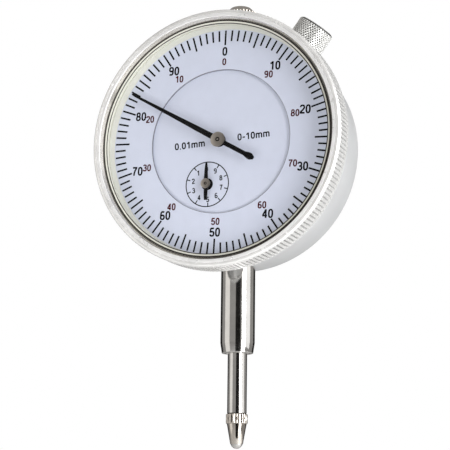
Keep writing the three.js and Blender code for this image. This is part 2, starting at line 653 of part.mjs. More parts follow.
// Knurled collar, tapered body and threaded stub, with a cup that holds the ball.
function contactPoint() {
  const collarLow = ROD_LOW - GAP - POINT_COLLAR_HEIGHT;
  const tip = collarLow - POINT_TAPER_HEIGHT;
  const cupRadius = BALL_RADIUS + 0.03;
  const ballZ = tip - BALL_BELOW_TIP + BALL_RADIUS;
  const cup = Array.from({ length: 6 }, (_, k) => {
    const start = Math.asin((tip - ballZ) / cupRadius);
    const angle = start + (Math.PI / 2 - start) * k / 5;
    return [cupRadius * Math.cos(angle), ballZ + cupRadius * Math.sin(angle)];
  });
  cup[5][0] = 0;
  return turnedUpright([
    ...cup.reverse(), [POINT_TIP_RADIUS, tip], [ROD_RADIUS, collarLow], [POINT_COLLAR_RADIUS, collarLow],
    [POINT_COLLAR_RADIUS, ROD_LOW - GAP], [POINT_STUB.radius, ROD_LOW - GAP],
    [POINT_STUB.radius, ROD_LOW + POINT_STUB.length], [0, ROD_LOW + POINT_STUB.length],
  ]);
}

function contactBall() {
  const tip = ROD_LOW - GAP - POINT_COLLAR_HEIGHT - POINT_TAPER_HEIGHT;
  return closedMesh(new THREE.SphereGeometry(BALL_RADIUS, 16, 8)).rotateX(Math.PI / 2)
    .translate(0, 0, tip - BALL_BELOW_TIP + BALL_RADIUS);
}

// ---------------------------------------------------------------- gear train

const SHOULDER_GAP = 0.3;          // between an arbor's shoulder and its plate
const CENTRE_PINION = { front: -7.8, back: -4.1 };
const DRIVE_WHEEL = { front: -5.0, back: -4.4 };
const TAKE_UP_WHEEL = { front: -7.0, back: -6.4 };
const RACK_PINION_HALF = 1.8;

// An arbor with a thinner pivot at each end and shoulders that face its plates.
function arborShaft(radius, front, frontShoulder, backShoulder, back) {
  return turnedInDepth([
    [0, front], [PIVOT_RADIUS, front], [PIVOT_RADIUS, frontShoulder], [radius, frontShoulder],
    [radius, backShoulder], [PIVOT_RADIUS, backShoulder], [PIVOT_RADIUS, back], [0, back],
  ], SMALL);
}

// Carries the rack pinion, the drive wheel and the small hand that counts whole turns.
function counterArbor() {
  const outline = gearShape(RACK_PINION_TEETH, RACK_MODULE, Math.PI / RACK_PINION_TEETH);
  const pinion = plate(outline, -RACK_PINION_HALF, RACK_PINION_HALF);
  const shaft = arborShaft(ARBOR_RADIUS, COUNT_HAND.back - 0.03, FRONT_PLATE_BACK + SHOULDER_GAP,
    BRIDGE_FRONT - SHOULDER_GAP, BRIDGE_BACK);
  return place(join(shaft, pinion), COUNTER);
}

// A short sleeve in front of a wheel.
function collet(arbor, radius, length, wheel) {
  const back = wheel.front - GAP;
  return place(ring(ARBOR_RADIUS + GAP, radius, back - length, back, SMALL), arbor);
}

function centreArbor() {
  const outline = gearShape(CENTRE_PINION_TEETH, MODULE, CENTRE_PINION_ANGLE);
  const pinion = plate(outline, CENTRE_PINION.front, CENTRE_PINION.back);
  const shaft = arborShaft(ARBOR_RADIUS, MAIN_HAND.back + 0.07, FRONT_PLATE_BACK + SHOULDER_GAP,
    MAIN_PLATE_FRONT - SHOULDER_GAP, MAIN_PLATE_BACK);
  return join(shaft, pinion);
}

function takeUpArbor() {
  const shaft = arborShaft(ARBOR_RADIUS, FRONT_PLATE_FRONT, FRONT_PLATE_BACK + SHOULDER_GAP,
    MAIN_PLATE_FRONT - SHOULDER_GAP, MAIN_PLATE_BACK);
  return place(shaft, TAKE_UP);
}

const HAIRSPRING = { inner: 1.55, outer: 5.6, turns: 4.5, thickness: 0.12, front: -8.25, back: -7.75 };

// A flat spiral that keeps the take-up wheel loaded, so that the train has no slack.
function hairspring() {
  const { inner, outer, turns, thickness } = HAIRSPRING;
  const steps = 63;
  const edge = (offset) => Array.from({ length: steps + 1 }, (_, k) => {
    const t = k / steps;
    const { x, z } = onClock(360 * turns * t, inner + (outer - inner) * t + offset);
    return new THREE.Vector2(x, z);
  });
  const shape = new THREE.Shape([...edge(thickness / 2), ...edge(-thickness / 2).reverse()]);
  return place(plate(shape, HAIRSPRING.front, HAIRSPRING.back), TAKE_UP);
}

function hairspringStud() {
  const end = onClock(360 * HAIRSPRING.turns, HAIRSPRING.outer + 0.6);
  const stud = cylinderInDepth(0.45, FRONT_PLATE_BACK + GAP, HAIRSPRING.back + 0.2);
  return place(stud, { x: TAKE_UP.x + end.x, z: TAKE_UP.z + end.z });
}

// ---------------------------------------------------------------- hands

// A hub with a groove that holds the hand: front disc, groove and collar.
function handHub({ face, disc, groove, collar, back }, blade, at) {
  const bore = PIVOT_RADIUS + GAP;
  const discBack = blade.front - GAP;
  const collarFront = blade.back + GAP;
  const hub = turnedInDepth([
    [0, face], [disc, face], [disc, discBack], [groove, discBack], [groove, collarFront],
    [collar, collarFront], [collar, back], [bore, back], [bore, blade.front], [0, blade.front],
  ], SMALL);
  return place(hub, at);
}

const MAIN_HUB = { face: -14.45, disc: 1.75, groove: 0.9, collar: 1.55, back: -13.0 };
const COUNT_HUB = { face: -13.6, disc: 1.15, groove: 0.57, collar: 1.0, back: -12.6 };

// A hand: its blade and tail run along a clock angle, with a round eye at the hub.
function hand(stations, eyeRadius, holeRadius, clock, { front, back }, at) {
  const blade = plate(taperShape(stations, clock), front, back);
  const eye = cylinderInDepth(eyeRadius, front, back);
  return place(cut(join(blade, eye), cylinderInDepth(holeRadius, front - 1, back + 1)), at);
}

function mainHand() {
  const stations = [[-10.1, 0.35], [-9.2, 0.8], [-7.5, 0.38], [0, 0.55], [24.7, 0.12]];
  return hand(stations, 1.5, MAIN_HUB.groove + GAP, HAND_CLOCK, MAIN_HAND, CENTRE);
}

function countHand() {
  const stations = [[-3.85, 0.28], [0, 0.36], [5.0, 0.2]];
  return hand(stations, 0.95, COUNT_HUB.groove + GAP, COUNT_HAND_CLOCK, COUNT_HAND, COUNTER);
}

// ---------------------------------------------------------------- bezel clamp

const SHOE = { low: 25.82, high: 26.7, halfWidth: 3.2, front: -5.4, back: -3.1 };

// A curved piece of ring round the dial's axis, at the clamp's place.
function shoeBlock({ low, high, halfWidth, front, back }) {
  const straight = box([-halfWidth, halfWidth], [front, back], [low - 3, high + 3]);
  const sector = straight.rotateY(radians(CLAMP_CLOCK));
  return toGeometry(toSolid(ring(low, high, front, back)).intersect(toSolid(sector)));
}

function shoePocket() {
  return shoeBlock({
    low: SHOE.low - 1, high: SHOE.high + GAP, halfWidth: SHOE.halfWidth + GAP,
    front: SHOE.front - GAP, back: SHOE.back + GAP,
  });
}

function clampKnob() {
  const screwEnd = SHOE.high + GAP;
  const chamfer = 0.6;
  return turnedRadial([
    [0, screwEnd], [CLAMP_SCREW_RADIUS, screwEnd], [CLAMP_SCREW_RADIUS, CLAMP_KNOB_LOW],
    [CLAMP_KNOB_RADIUS - 0.3, CLAMP_KNOB_LOW], [CLAMP_KNOB_RADIUS, CLAMP_KNOB_LOW + 0.3],
    [CLAMP_KNOB_RADIUS, CLAMP_KNOB_HIGH - chamfer], [CLAMP_KNOB_RADIUS - chamfer, CLAMP_KNOB_HIGH],
    [0, CLAMP_KNOB_HIGH],
  ], CLAMP_CLOCK, CLAMP_DEPTH);
}

// ---------------------------------------------------------------- assembly

const indicator = new THREE.Group();
const head = new THREE.Group();
head.position.z = DIAL_Z;
indicator.add(head);

function addTo(group, name, finish, geometry) {
  const mesh = new THREE.Mesh(geometry, new THREE.MeshStandardMaterial(FINISHES[finish]));
  mesh.name = name;
  group.add(mesh);
}

const add = (name, finish, geometry) => addTo(indicator, name, finish, geometry);
const addToHead = (name, finish, geometry) => addTo(head, name, finish, geometry);

add('stem', 'polished_steel', stem());
add('lower_bush', 'brass', lowerBush());
add('top_cap', 'polished_steel', topCap());
add('plunger_rod', 'polished_steel', plungerRod());
add('guide_pin', 'steel', guidePin());
add('contact_point', 'polished_steel', contactPoint());
add('contact_ball', 'steel', contactBall());
add('return_spring', 'steel', returnSpring());

addToHead('case_body', 'satin_case', caseBody());
addToHead('upper_bush', 'brass', upperBush());
addToHead('back_cover', 'satin_case', backCover());
COVER_SCREW_CLOCKS.forEach((clock, k) => {
  const at = onClock(clock, COVER_SCREW_CIRCLE);
  const face = COVER_BACK - COVER_SCREW.headHeight;
  addToHead(`cover_screw_${k + 1}`, 'steel', screw(COVER_SCREW, face, -1, at));
});

addToHead('bezel_ring', 'satin_bezel', bezelRing());
addToHead('crystal', 'crystal', crystal());
addToHead('crystal_gasket', 'gasket', crystalGasket());
addToHead('scale_ring', 'dial_face', scaleRing());
addToHead('bezel_snap_ring', 'steel', snapRing());
addToHead('inner_dial', 'dial_face', innerDial());

addToHead('front_plate', 'brass', frontPlate());
addToHead('main_plate', 'brass', mainPlate());
PILLAR_CLOCKS.forEach((clock, k) => {
  const at = onClock(clock, PILLAR_CIRCLE);
  addToHead(`pillar_${k + 1}`, 'brass', movementPillar(clock));
  const face = FRONT_PLATE_FRONT - GAP;
  addToHead(`front_plate_screw_${k + 1}`, 'steel', screw(MOVEMENT_SCREW, face, 1, at));
});
BOSS_CLOCKS.forEach((clock, k) => {
  const at = onClock(clock, BOSS_CIRCLE);
  const face = MAIN_PLATE_FRONT - GAP;
  addToHead(`main_plate_screw_${k + 1}`, 'steel', screw(MOVEMENT_SCREW, face, 1, at));
});
DIAL_FOOT_CLOCKS.forEach((clock, k) => addToHead(`dial_foot_${k + 1}`, 'brass', dialFoot(clock)));
addToHead('counter_bridge', 'brass', counterBridge());
BRIDGE_POSTS.forEach((at, k) => {
  addToHead(`bridge_post_${k + 1}`, 'brass', bridgePost(at));
  addToHead(`bridge_screw_${k + 1}`, 'steel', screw(MOVEMENT_SCREW, BRIDGE_BACK + GAP, -1, at));
});
addToHead('guide_rail', 'steel', guideRail());
addToHead('spring_post', 'steel', springPost());

addToHead('counter_arbor', 'steel', counterArbor());
addToHead('drive_wheel', 'brass', spokedWheel(COUNTER, DRIVE_WHEEL));
addToHead('drive_wheel_collet', 'brass', collet(COUNTER, 1.8, 0.95, DRIVE_WHEEL));
addToHead('centre_arbor', 'steel', centreArbor());
addToHead('take_up_arbor', 'steel', takeUpArbor());
addToHead('take_up_wheel', 'brass', spokedWheel(TAKE_UP, TAKE_UP_WHEEL));
addToHead('hairspring_collet', 'brass', collet(TAKE_UP, 1.4, 1.35, TAKE_UP_WHEEL));
addToHead('hairspring', 'steel', hairspring());
addToHead('hairspring_stud', 'brass', hairspringStud());

addToHead('main_hand', 'black_paint', mainHand());
addToHead('main_hand_hub', 'steel', handHub(MAIN_HUB, MAIN_HAND, CENTRE));
addToHead('turn_count_hand', 'black_paint', countHand());
addToHead('turn_count_hub', 'steel', handHub(COUNT_HUB, COUNT_HAND, COUNTER));

addToHead('clamp_shoe', 'brass', shoeBlock(SHOE));
addToHead('clamp_knob', 'satin_bezel', clampKnob());

export default indicator;
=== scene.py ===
"""Looks of the plunger dial indicator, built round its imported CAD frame.

Places in the scene are in metres. Profiles and outlines are in millimetres, from the dial's axis
or, for what stands on the plunger's line, from the frame's origin.
"""

import json
import math

import bmesh
import bpy
from mathutils import Matrix, Vector


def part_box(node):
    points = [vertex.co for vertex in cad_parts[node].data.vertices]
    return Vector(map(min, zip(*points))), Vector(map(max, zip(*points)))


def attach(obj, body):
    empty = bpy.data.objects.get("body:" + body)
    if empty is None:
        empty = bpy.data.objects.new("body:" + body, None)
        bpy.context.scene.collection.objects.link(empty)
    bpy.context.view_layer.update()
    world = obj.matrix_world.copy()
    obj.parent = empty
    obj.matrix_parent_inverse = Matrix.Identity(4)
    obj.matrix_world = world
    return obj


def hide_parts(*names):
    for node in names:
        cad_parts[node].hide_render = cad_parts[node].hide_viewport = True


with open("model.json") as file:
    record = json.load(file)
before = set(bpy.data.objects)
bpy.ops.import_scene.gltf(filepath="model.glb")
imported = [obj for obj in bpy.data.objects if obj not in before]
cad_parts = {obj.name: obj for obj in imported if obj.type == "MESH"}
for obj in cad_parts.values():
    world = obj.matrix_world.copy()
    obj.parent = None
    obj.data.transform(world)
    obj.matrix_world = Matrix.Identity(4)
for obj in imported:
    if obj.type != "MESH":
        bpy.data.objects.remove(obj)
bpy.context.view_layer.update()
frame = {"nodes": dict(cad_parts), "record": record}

MM = 0.001

# ------------------------------------------------------------------ places taken from the frame

X, Y, Z = 0, 1, 2


def low(node):
    return Vector(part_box(node)[0])


def high(node):
    return Vector(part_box(node)[1])


def middle(node):
    return (low(node) + high(node)) / 2


def mm_low(node, axis):
    return low(node)[axis] / MM


def mm_high(node, axis):
    return high(node)[axis] / MM


def mm_radius(node, axis=X):
    """Half of a round node's width along an axis."""
    return (mm_high(node, axis) - mm_low(node, axis)) / 2


DIAL = middle("bezel_ring")
DIAL.y = 0.0
COUNT = middle("turn_count_hub")
COUNT.y = 0.0
BEZEL_R = mm_radius("bezel_ring")
CASE_R = mm_radius("case_body")
BEZEL_FRONT, BEZEL_BACK = mm_low("bezel_ring", Y), mm_high("bezel_ring", Y)
CASE_FRONT, CASE_BACK = mm_low("case_body", Y), mm_high("case_body", Y)
SCALE_FRONT, SCALE_BACK = mm_low("scale_ring", Y), mm_high("scale_ring", Y)
DISC_FRONT, DISC_BACK = mm_low("inner_dial", Y), mm_high("inner_dial", Y)
DISC_R = mm_radius("inner_dial")
CRYSTAL_FRONT, CRYSTAL_BACK = mm_low("crystal", Y), mm_high("crystal", Y)
CRYSTAL_R = mm_radius("crystal")
STEM_R = mm_radius("stem")

CLAMP = next(j for j in frame["record"]["behaviour"]["joints"] if j["name"] == "clamp_knob_turn")
CLAMP_OUT = -Vector(CLAMP["axis"])
CLAMP_AXIS = Vector(CLAMP["pos_m"])
# The turned frame for the clamp: +Z runs out along the screw, and heights count from the dial's axis.
CLAMP_PLACE = (Matrix.Translation(Vector((0, CLAMP_AXIS.y, DIAL.z)))
               @ CLAMP_OUT.to_track_quat("Z", "Y").to_matrix().to_4x4())

SCALE_TURN = 2.6          # clock degrees that the scale is turned from upright
DISC_TURN = -2.7          # and the fixed disc's printing
HAND_CLOCK = -59.6
COUNT_HAND_CLOCK = 0.7

# ------------------------------------------------------------------ small helpers


def on_clock(clock, radius):
    """x and z of a place on the dial, at clock degrees and a radius, from the dial's axis."""
    angle = math.radians(clock)
    return radius * math.sin(angle), radius * math.cos(angle)


def loose(mesh):
    """An object named after its mesh, in the scene but on no body yet."""
    piece = bpy.data.objects.new(mesh.name, mesh)
    bpy.context.scene.collection.objects.link(piece)
    return piece


def add_object(mesh, material, body, node=None):
    """A piece of the indicator, which rides on a body and may replace a CAD node."""
    piece = loose(mesh)
    mesh.materials.append(material)
    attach(piece, body)
    if node is not None:
        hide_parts(node)
    return piece


def smooth_by_angle(mesh, degrees=35):
    """Shades a mesh smooth, apart from edges sharper than the angle."""
    mesh.shade_smooth()
    shape = bmesh.new()
    shape.from_mesh(mesh)
    limit = math.radians(degrees)
    for edge in shape.edges:
        edge.smooth = len(edge.link_faces) == 2 and edge.calc_face_angle(0.0) < limit
    shape.to_mesh(mesh)
    shape.free()


def mesh_from(name, points, faces, angle=35):
    mesh = bpy.data.meshes.new(name)
    mesh.from_pydata(points, [], faces)
    mesh.validate()
    shape = bmesh.new()
    shape.from_mesh(mesh)
    bmesh.ops.remove_doubles(shape, verts=shape.verts, dist=1e-7)
    bmesh.ops.recalc_face_normals(shape, faces=shape.faces)
    shape.to_mesh(mesh)
    shape.free()
    smooth_by_angle(mesh, angle)
    return mesh


def arc(centre, radius, start, end, steps=6):
    """Points of a round stretch of a profile, in degrees from the first axis towards the second."""
    points = []
    for k in range(steps + 1):
        angle = math.radians(start + (end - start) * k / steps)
        points.append((centre[0] + radius * math.cos(angle), centre[1] + radius * math.sin(angle)))
    return points


def turned(name, profile, place, segments=96, closed=False, depth=None, angle=35):
    """A turned mesh. profile is [(radius mm, height mm)], and place maps the turned frame, whose
    axis is +Z, to the row frame. depth(turn, radius, height) gives a radius change in mm."""
    points, faces = [], []
    count = len(profile)
    for k in range(segments):
        turn = 2 * math.pi * k / segments
        for radius, height in profile:
            change = depth(turn, radius, height) if depth and radius > 0 else 0.0
            r = (radius + change) * MM
            points.append(place @ Vector((r * math.cos(turn), r * math.sin(turn), height * MM)))
    last = count if closed else count - 1
    for k in range(segments):
        a, b = k * count, ((k + 1) % segments) * count
        for i in range(last):
            j = (i + 1) % count
            corners = [a + i, a + j, b + j, b + i]
            if profile[i][0] == 0:
                corners.remove(b + i)
            if profile[j][0] == 0:
                corners.remove(b + j)
            if len(corners) > 2:
                faces.append(corners)
    return mesh_from(name, points, faces, angle)


def rod(radius, start, end):
    """The profile of a plain cylinder between two heights."""
    return [(0, start), (radius, start), (radius, end), (0, end)]


UPRIGHT = Matrix.Identity(4)
# The turned frame's +Z is the row's +Y, and its +X is the reader's right.
IN_DEPTH = Matrix.Translation(DIAL) @ Matrix.Rotation(math.radians(-90), 4, "X")


def in_depth_at(centre):
    return Matrix.Translation(centre) @ Matrix.Rotation(math.radians(-90), 4, "X")


def prism(name, outline, front, back, centre, bevel=0.0, angle=35):
    """A flat piece parallel to the dial. outline is [(x mm, z mm)] from centre."""
    shape = bmesh.new()
    ring = [shape.verts.new((centre.x + x * MM, back * MM, centre.z + z * MM)) for x, z in outline]
    face = shape.faces.new(ring)
    made = bmesh.ops.extrude_face_region(shape, geom=[face])
    moved = [v for v in made["geom"] if isinstance(v, bmesh.types.BMVert)]
    bmesh.ops.translate(shape, verts=moved, vec=(0, (front - back) * MM, 0))
    if bevel:
        rim = [e for e in shape.edges if all(v in moved for v in e.verts)]
        bmesh.ops.bevel(shape, geom=rim, offset=bevel * MM, segments=2, affect="EDGES", profile=0.5)
    bmesh.ops.recalc_face_normals(shape, faces=shape.faces)
    mesh = bpy.data.meshes.new(name)
    shape.to_mesh(mesh)
    shape.free()
    smooth_by_angle(mesh, angle)
    return mesh


def combine(piece, other, operation):
    """Joins other to piece, or cuts it away, and deletes other."""
    modifier = piece.modifiers.new("combine", "BOOLEAN")
    modifier.object = other
    modifier.operation = operation
    modifier.solver = "EXACT"
    depsgraph = bpy.context.evaluated_depsgraph_get()
    result = bpy.data.meshes.new_from_object(piece.evaluated_get(depsgraph), depsgraph=depsgraph)
    piece.modifiers.clear()
    old = piece.data
    piece.data = result
    bpy.data.meshes.remove(old)
    bpy.data.objects.remove(other)
    smooth_by_angle(piece.data)


# ------------------------------------------------------------------ materials


NOISE_LOW, NOISE_HIGH = 0.3, 0.7      # where most values of a noise lie
# Scales of the noises, in waves per metre, from broad to fine.
CLOTH_SCALE = 30.0
PATCH_SCALE = 90.0
SMEAR_SCALE = 220.0
WIPE_SCALE = 400.0
MOTTLE_SCALE = 500.0
GRAIN_SCALE = 3000.0
BLAST_SCALE = 7000.0
FINE_SCALE = 9000.0
TOOTH_SCALE = 12000.0
FINE_BUMP = 0.01          # mm
BLAST_BUMP = 0.02


class Shader:
    """A node material with one Principled shader, and short ways to add its detail nodes."""

    def __init__(self, name, base, metallic, roughness):
        self.material = bpy.data.materials.new(name)
        self.material.use_nodes = True
        self.tree = self.material.node_tree
        self.nodes, self.links = self.tree.nodes, self.tree.links
        self.bsdf = self.nodes["Principled BSDF"]
        self.bsdf.inputs["Base Color"].default_value = (*base, 1.0)
        self.bsdf.inputs["Metallic"].default_value = metallic
        self.bsdf.inputs["Roughness"].default_value = roughness
        self.base, self.roughness = base, roughness
        self.position = self.nodes.new("ShaderNodeTexCoord").outputs["Object"]

    def node(self, kind, **values):
        made = self.nodes.new(kind)
        for key, value in values.items():
            if key in made.inputs:
                made.inputs[key].default_value = value
            else:
                setattr(made, key, value)
        return made

    def from_axis(self, centre, axis):
        """A vector of (distance from an axis, place along it, 0), so that noise forms turned rings."""
        moved = self.node("ShaderNodeVectorMath", operation="SUBTRACT")
        self.links.new(self.position, moved.inputs[0])
        moved.inputs[1].default_value = centre
        parts = self.node("ShaderNodeSeparateXYZ")
        self.links.new(moved.outputs[0], parts.inputs[0])
        across = [k for k in range(3) if k != axis]
        flat = self.node("ShaderNodeCombineXYZ")
        for slot, k in enumerate(across):
            self.links.new(parts.outputs[k], flat.inputs[slot])
        length = self.node("ShaderNodeVectorMath", operation="LENGTH")
        self.links.new(flat.outputs[0], length.inputs[0])
        out = self.node("ShaderNodeCombineXYZ")
        self.links.new(length.outputs["Value"], out.inputs[0])
        self.links.new(parts.outputs[axis], out.inputs[1])
        return out.outputs[0]

    def noise(self, vector, scale, detail=4.0, roughness=0.55):
        made = self.node("ShaderNodeTexNoise", Scale=scale, Detail=detail, Roughness=roughness)
        self.links.new(vector, made.inputs["Vector"])
        return made.outputs["Fac"]

    def stretched(self, vector, factors):
        made = self.node("ShaderNodeVectorMath", operation="MULTIPLY")
        self.links.new(vector, made.inputs[0])
        made.inputs[1].default_value = factors
        return made.outputs[0]

    def ramp(self, value, low_out, high_out, low_in=NOISE_LOW, high_in=NOISE_HIGH):
        made = self.node("ShaderNodeMapRange")
        self.links.new(value, made.inputs["Value"])
        made.inputs["From Min"].default_value = low_in
        made.inputs["From Max"].default_value = high_in
        made.inputs["To Min"].default_value = low_out
        made.inputs["To Max"].default_value = high_out
        return made.outputs["Result"]

    def vary_roughness(self, value, spread):
        out = self.ramp(value, self.roughness - spread, self.roughness + spread)
        self.links.new(out, self.bsdf.inputs["Roughness"])

    def vary_colour(self, value, darker, low_in=NOISE_LOW, high_in=NOISE_HIGH):
        """Mixes between a darker colour and the base colour."""
        mix = self.node("ShaderNodeMix", data_type="RGBA")
        colours = [s for s in mix.inputs if s.type == "RGBA"]
        colours[0].default_value = (*darker, 1.0)
        colours[1].default_value = (*self.base, 1.0)
        self.links.new(self.ramp(value, 0.0, 1.0, low_in, high_in), mix.inputs["Factor"])
        result = [s for s in mix.outputs if s.type == "RGBA"][0]
        self.links.new(result, self.bsdf.inputs["Base Color"])

    def distance_from(self, centre, direction):
        """The distance from a line."""
        moved = self.node("ShaderNodeVectorMath", operation="SUBTRACT")
        self.links.new(self.position, moved.inputs[0])
        moved.inputs[1].default_value = centre
        crossed = self.node("ShaderNodeVectorMath", operation="CROSS_PRODUCT")
        self.links.new(moved.outputs[0], crossed.inputs[0])
        crossed.inputs[1].default_value = direction
        length = self.node("ShaderNodeVectorMath", operation="LENGTH")
        self.links.new(crossed.outputs[0], length.inputs[0])
        return length.outputs["Value"]

    def bump(self, value, strength, distance_mm):
        made = self.node("ShaderNodeBump", Strength=strength, Distance=distance_mm * MM)
        self.links.new(value, made.inputs["Height"])
        before = self.bsdf.inputs["Normal"]
        if before.is_linked:
            self.links.new(before.links[0].from_socket, made.inputs["Normal"])
        self.links.new(made.outputs["Normal"], self.bsdf.inputs["Normal"])


def toned(base, factor):
    return tuple(channel * factor for channel in base)


def turned_metal(name, base, roughness, centre, axis, ring_bump=0.12, spread=0.05, metallic=1.0):
    """Machined metal with fine rings round its axis, slight smears and a worn tone."""
    shader = Shader(name, base, metallic, roughness)
    along = shader.from_axis(centre, axis)
    rings = shader.noise(along, FINE_SCALE, detail=3.0)
    smears = shader.noise(shader.position, SMEAR_SCALE, detail=5.0)
    shader.vary_roughness(smears, spread)
    shader.vary_colour(smears, toned(base, 0.9), 0.35, 0.6)
    shader.bump(rings, ring_bump, FINE_BUMP)
    return shader.material


def knurled_metal(name, base, roughness, centre, direction, crest_r, groove_depth, groove_shade_tone,
                  metallic=1.0):
    """Bright metal with painted shade in its knurl grooves: darker near the bottom of the grooves. The
    surfaces well inside the grooves' depth, such as the end faces, are bright again."""
    shader = Shader(name, base, metallic, roughness)
    out = shader.distance_from(centre, direction)
    groove_shade_mask = shader.ramp(out, 0.0, 1.0, (crest_r - groove_depth) * MM, crest_r * MM)
    ends_full, ends_gone = crest_r - 0.4, crest_r - 0.32
    ends = shader.ramp(out, 1.0, 0.0, ends_full * MM, ends_gone * MM)
    bright = shader.node("ShaderNodeMath", operation="MAXIMUM")
    shader.links.new(groove_shade_mask, bright.inputs[0])
    shader.links.new(ends, bright.inputs[1])
    # Painted shade: the colour darkens towards the bottom of each knurl groove, where shade falls.
    shader.vary_colour(bright.outputs[0], toned(base, groove_shade_tone), 0.0, 1.0)
    grain = shader.noise(shader.position, GRAIN_SCALE, detail=4.0)
    shader.vary_roughness(grain, 0.05)
    shader.bump(grain, 0.05, FINE_BUMP)
    return shader.material


def blasted_metal(name, base, roughness):
    """A plated casting with a fine even bead-blasted grain."""
    shader = Shader(name, base, 0.5, roughness)
    grain = shader.noise(shader.position, BLAST_SCALE, detail=2.0)
    patches = shader.noise(shader.position, PATCH_SCALE, detail=4.0)
    shader.vary_roughness(patches, 0.04)
    shader.vary_colour(patches, toned(base, 0.94))
    shader.bump(grain, 0.25, BLAST_BUMP)
    return shader.material


def dial_paint(name, base):
    """Pale lacquer with the slightest mottle."""
    shader = Shader(name, base, 0.0, 0.5)
    mottle = shader.noise(shader.position, MOTTLE_SCALE, detail=5.0)
    tooth = shader.noise(shader.position, FINE_SCALE, detail=2.0)
    shader.vary_colour(mottle, toned(base, 0.965))
    shader.vary_roughness(mottle, 0.06)
    shader.bump(tooth, 0.08, FINE_BUMP)
    return shader.material


def print_ink(name, base, roughness=0.6):
    """Matt ink or paint with a fine tooth."""
    shader = Shader(name, base, 0.0, roughness)
    shader.bsdf.inputs["Specular IOR Level"].default_value = 0.1
    tooth = shader.noise(shader.position, TOOTH_SCALE, detail=2.0)
    shader.vary_roughness(tooth, 0.08)
    shader.vary_colour(tooth, tuple(channel * 1.5 + 0.001 for channel in base))
    shader.bump(tooth, 0.1, FINE_BUMP)
    return shader.material


def seat_plastic(name, base):
    """Moulded plastic or rubber with a soft grain."""
    shader = Shader(name, base, 0.0, 0.45)
    grain = shader.noise(shader.position, GRAIN_SCALE, detail=3.0)
    shader.vary_colour(grain, toned(base, 0.93))
    shader.vary_roughness(grain, 0.08)
    shader.bump(grain, 0.1, FINE_BUMP)
    return shader.material


def clear_crystal(name):
    """Clear acrylic: see-through, with a gloss that grows where it is seen at a slant and that
    faint wipe marks soften."""
    shader = Shader(name, (1.0, 1.0, 1.0), 1.0, 0.03)
    wipes = shader.noise(shader.stretched(shader.position, (1.0, 1.0, 6.0)), WIPE_SCALE, detail=6.0)
    shader.vary_roughness(wipes, 0.02)
    shader.bump(wipes, 0.015, 2 * FINE_BUMP)
    clear = shader.node("ShaderNodeBsdfTransparent")
    slant = shader.node("ShaderNodeLayerWeight", Blend=0.5)
    steep = shader.node("ShaderNodeMath", operation="POWER")
    shader.links.new(slant.outputs["Facing"], steep.inputs[0])
    steep.inputs[1].default_value = 4.0
    mix = shader.node("ShaderNodeMixShader")
    shader.links.new(shader.ramp(steep.outputs[0], 0.004, 0.6, 0.0, 1.0), mix.inputs["Fac"])
    shader.links.new(clear.outputs[0], mix.inputs[1])
    shader.links.new(shader.bsdf.outputs[0], mix.inputs[2])
    output = shader.nodes["Material Output"]
    shader.links.new(mix.outputs[0], output.inputs["Surface"])
    return shader.material


HEAD_AXIS = tuple(DIAL)
STEM_AXIS = (0, 0, 0)
KNOB_R = 4.45
COLLAR_R = 2.5
CREST = 0.02              # mm below a knurl's crest where its full brightness begins

BEZEL_CHROME = turned_metal("bezel_chrome", (0.93, 0.93, 0.93), 0.30, HEAD_AXIS, Y, metallic=0.45)
MOUTH_CHROME = turned_metal("mouth_chrome", (0.80, 0.77, 0.72), 0.12, HEAD_AXIS, Y,
                            ring_bump=0.05, spread=0.03, metallic=0.8)
EDGE_CHROME = turned_metal("edge_chrome", (0.93, 0.93, 0.92), 0.24, HEAD_AXIS, Y,
                           ring_bump=0.05, metallic=0.55)
# The tones given for the knurls' grooves are painted shade in the grooves.
KNURL_CHROME = knurled_metal("knurl_chrome", (0.92, 0.92, 0.91), 0.24, HEAD_AXIS, (0, 1, 0),
                             crest_r=BEZEL_R - 2 * CREST, groove_depth=0.18, groove_shade_tone=0.5, metallic=0.55)
CLAMP_CHROME = knurled_metal("clamp_chrome", (0.80, 0.80, 0.78), 0.25, tuple(CLAMP_AXIS), tuple(CLAMP_OUT),
                             crest_r=KNOB_R - CREST, groove_depth=0.12, groove_shade_tone=0.01, metallic=0.6)
COLLAR_STEEL = knurled_metal("collar_steel", (0.86, 0.80, 0.73), 0.2, STEM_AXIS, (0, 0, 1),
                             crest_r=COLLAR_R - CREST, groove_depth=0.2, groove_shade_tone=0.06)
CASE_SATIN = blasted_metal("case_satin", (0.64, 0.65, 0.66), 0.42)
STEM_STEEL = turned_metal("ground_steel", (0.78, 0.77, 0.75), 0.1, STEM_AXIS, Z, spread=0.03)
POINT_STEEL = turned_metal("point_steel", (0.74, 0.69, 0.63), 0.07, STEM_AXIS, Z,
                           ring_bump=0.04, spread=0.02)
BALL_STEEL = turned_metal("ball_steel", (0.75, 0.74, 0.72), 0.08, STEM_AXIS, Z,
                          ring_bump=0.02, spread=0.02)
HUB_STEEL = turned_metal("hub_steel", (0.46, 0.42, 0.38), 0.34, HEAD_AXIS, Y)
SCREW_STEEL = turned_metal("screw_steel", (0.62, 0.62, 0.61), 0.3, HEAD_AXIS, Y)
BRASS = turned_metal("brass", (0.72, 0.53, 0.25), 0.3, HEAD_AXIS, Y)
DIAL_BLUE = dial_paint("dial_blue", (0.57, 0.605, 0.72))
# Dark grey paint for the painted shade round the scale's bore.
DIAL_EDGE_SHADE = dial_paint("dial_edge_shade", (0.20, 0.205, 0.24))
BLACK_INK = print_ink("black_ink", (0.002, 0.002, 0.003))
RED_INK = print_ink("red_ink", (0.045, 0.003, 0.006))
HAND_BLACK = print_ink("hand_black", (0.002, 0.002, 0.0025), 0.5)
SEAT_CREAM = seat_plastic("seat_cream", (0.62, 0.62, 0.55))
# Dark rubber for the seal bead, also used for the painted shadow line inside the crystal's seat.
SEAL_RUBBER_AND_SHADE = seat_plastic("seal_rubber_and_shade", (0.018, 0.014, 0.012))
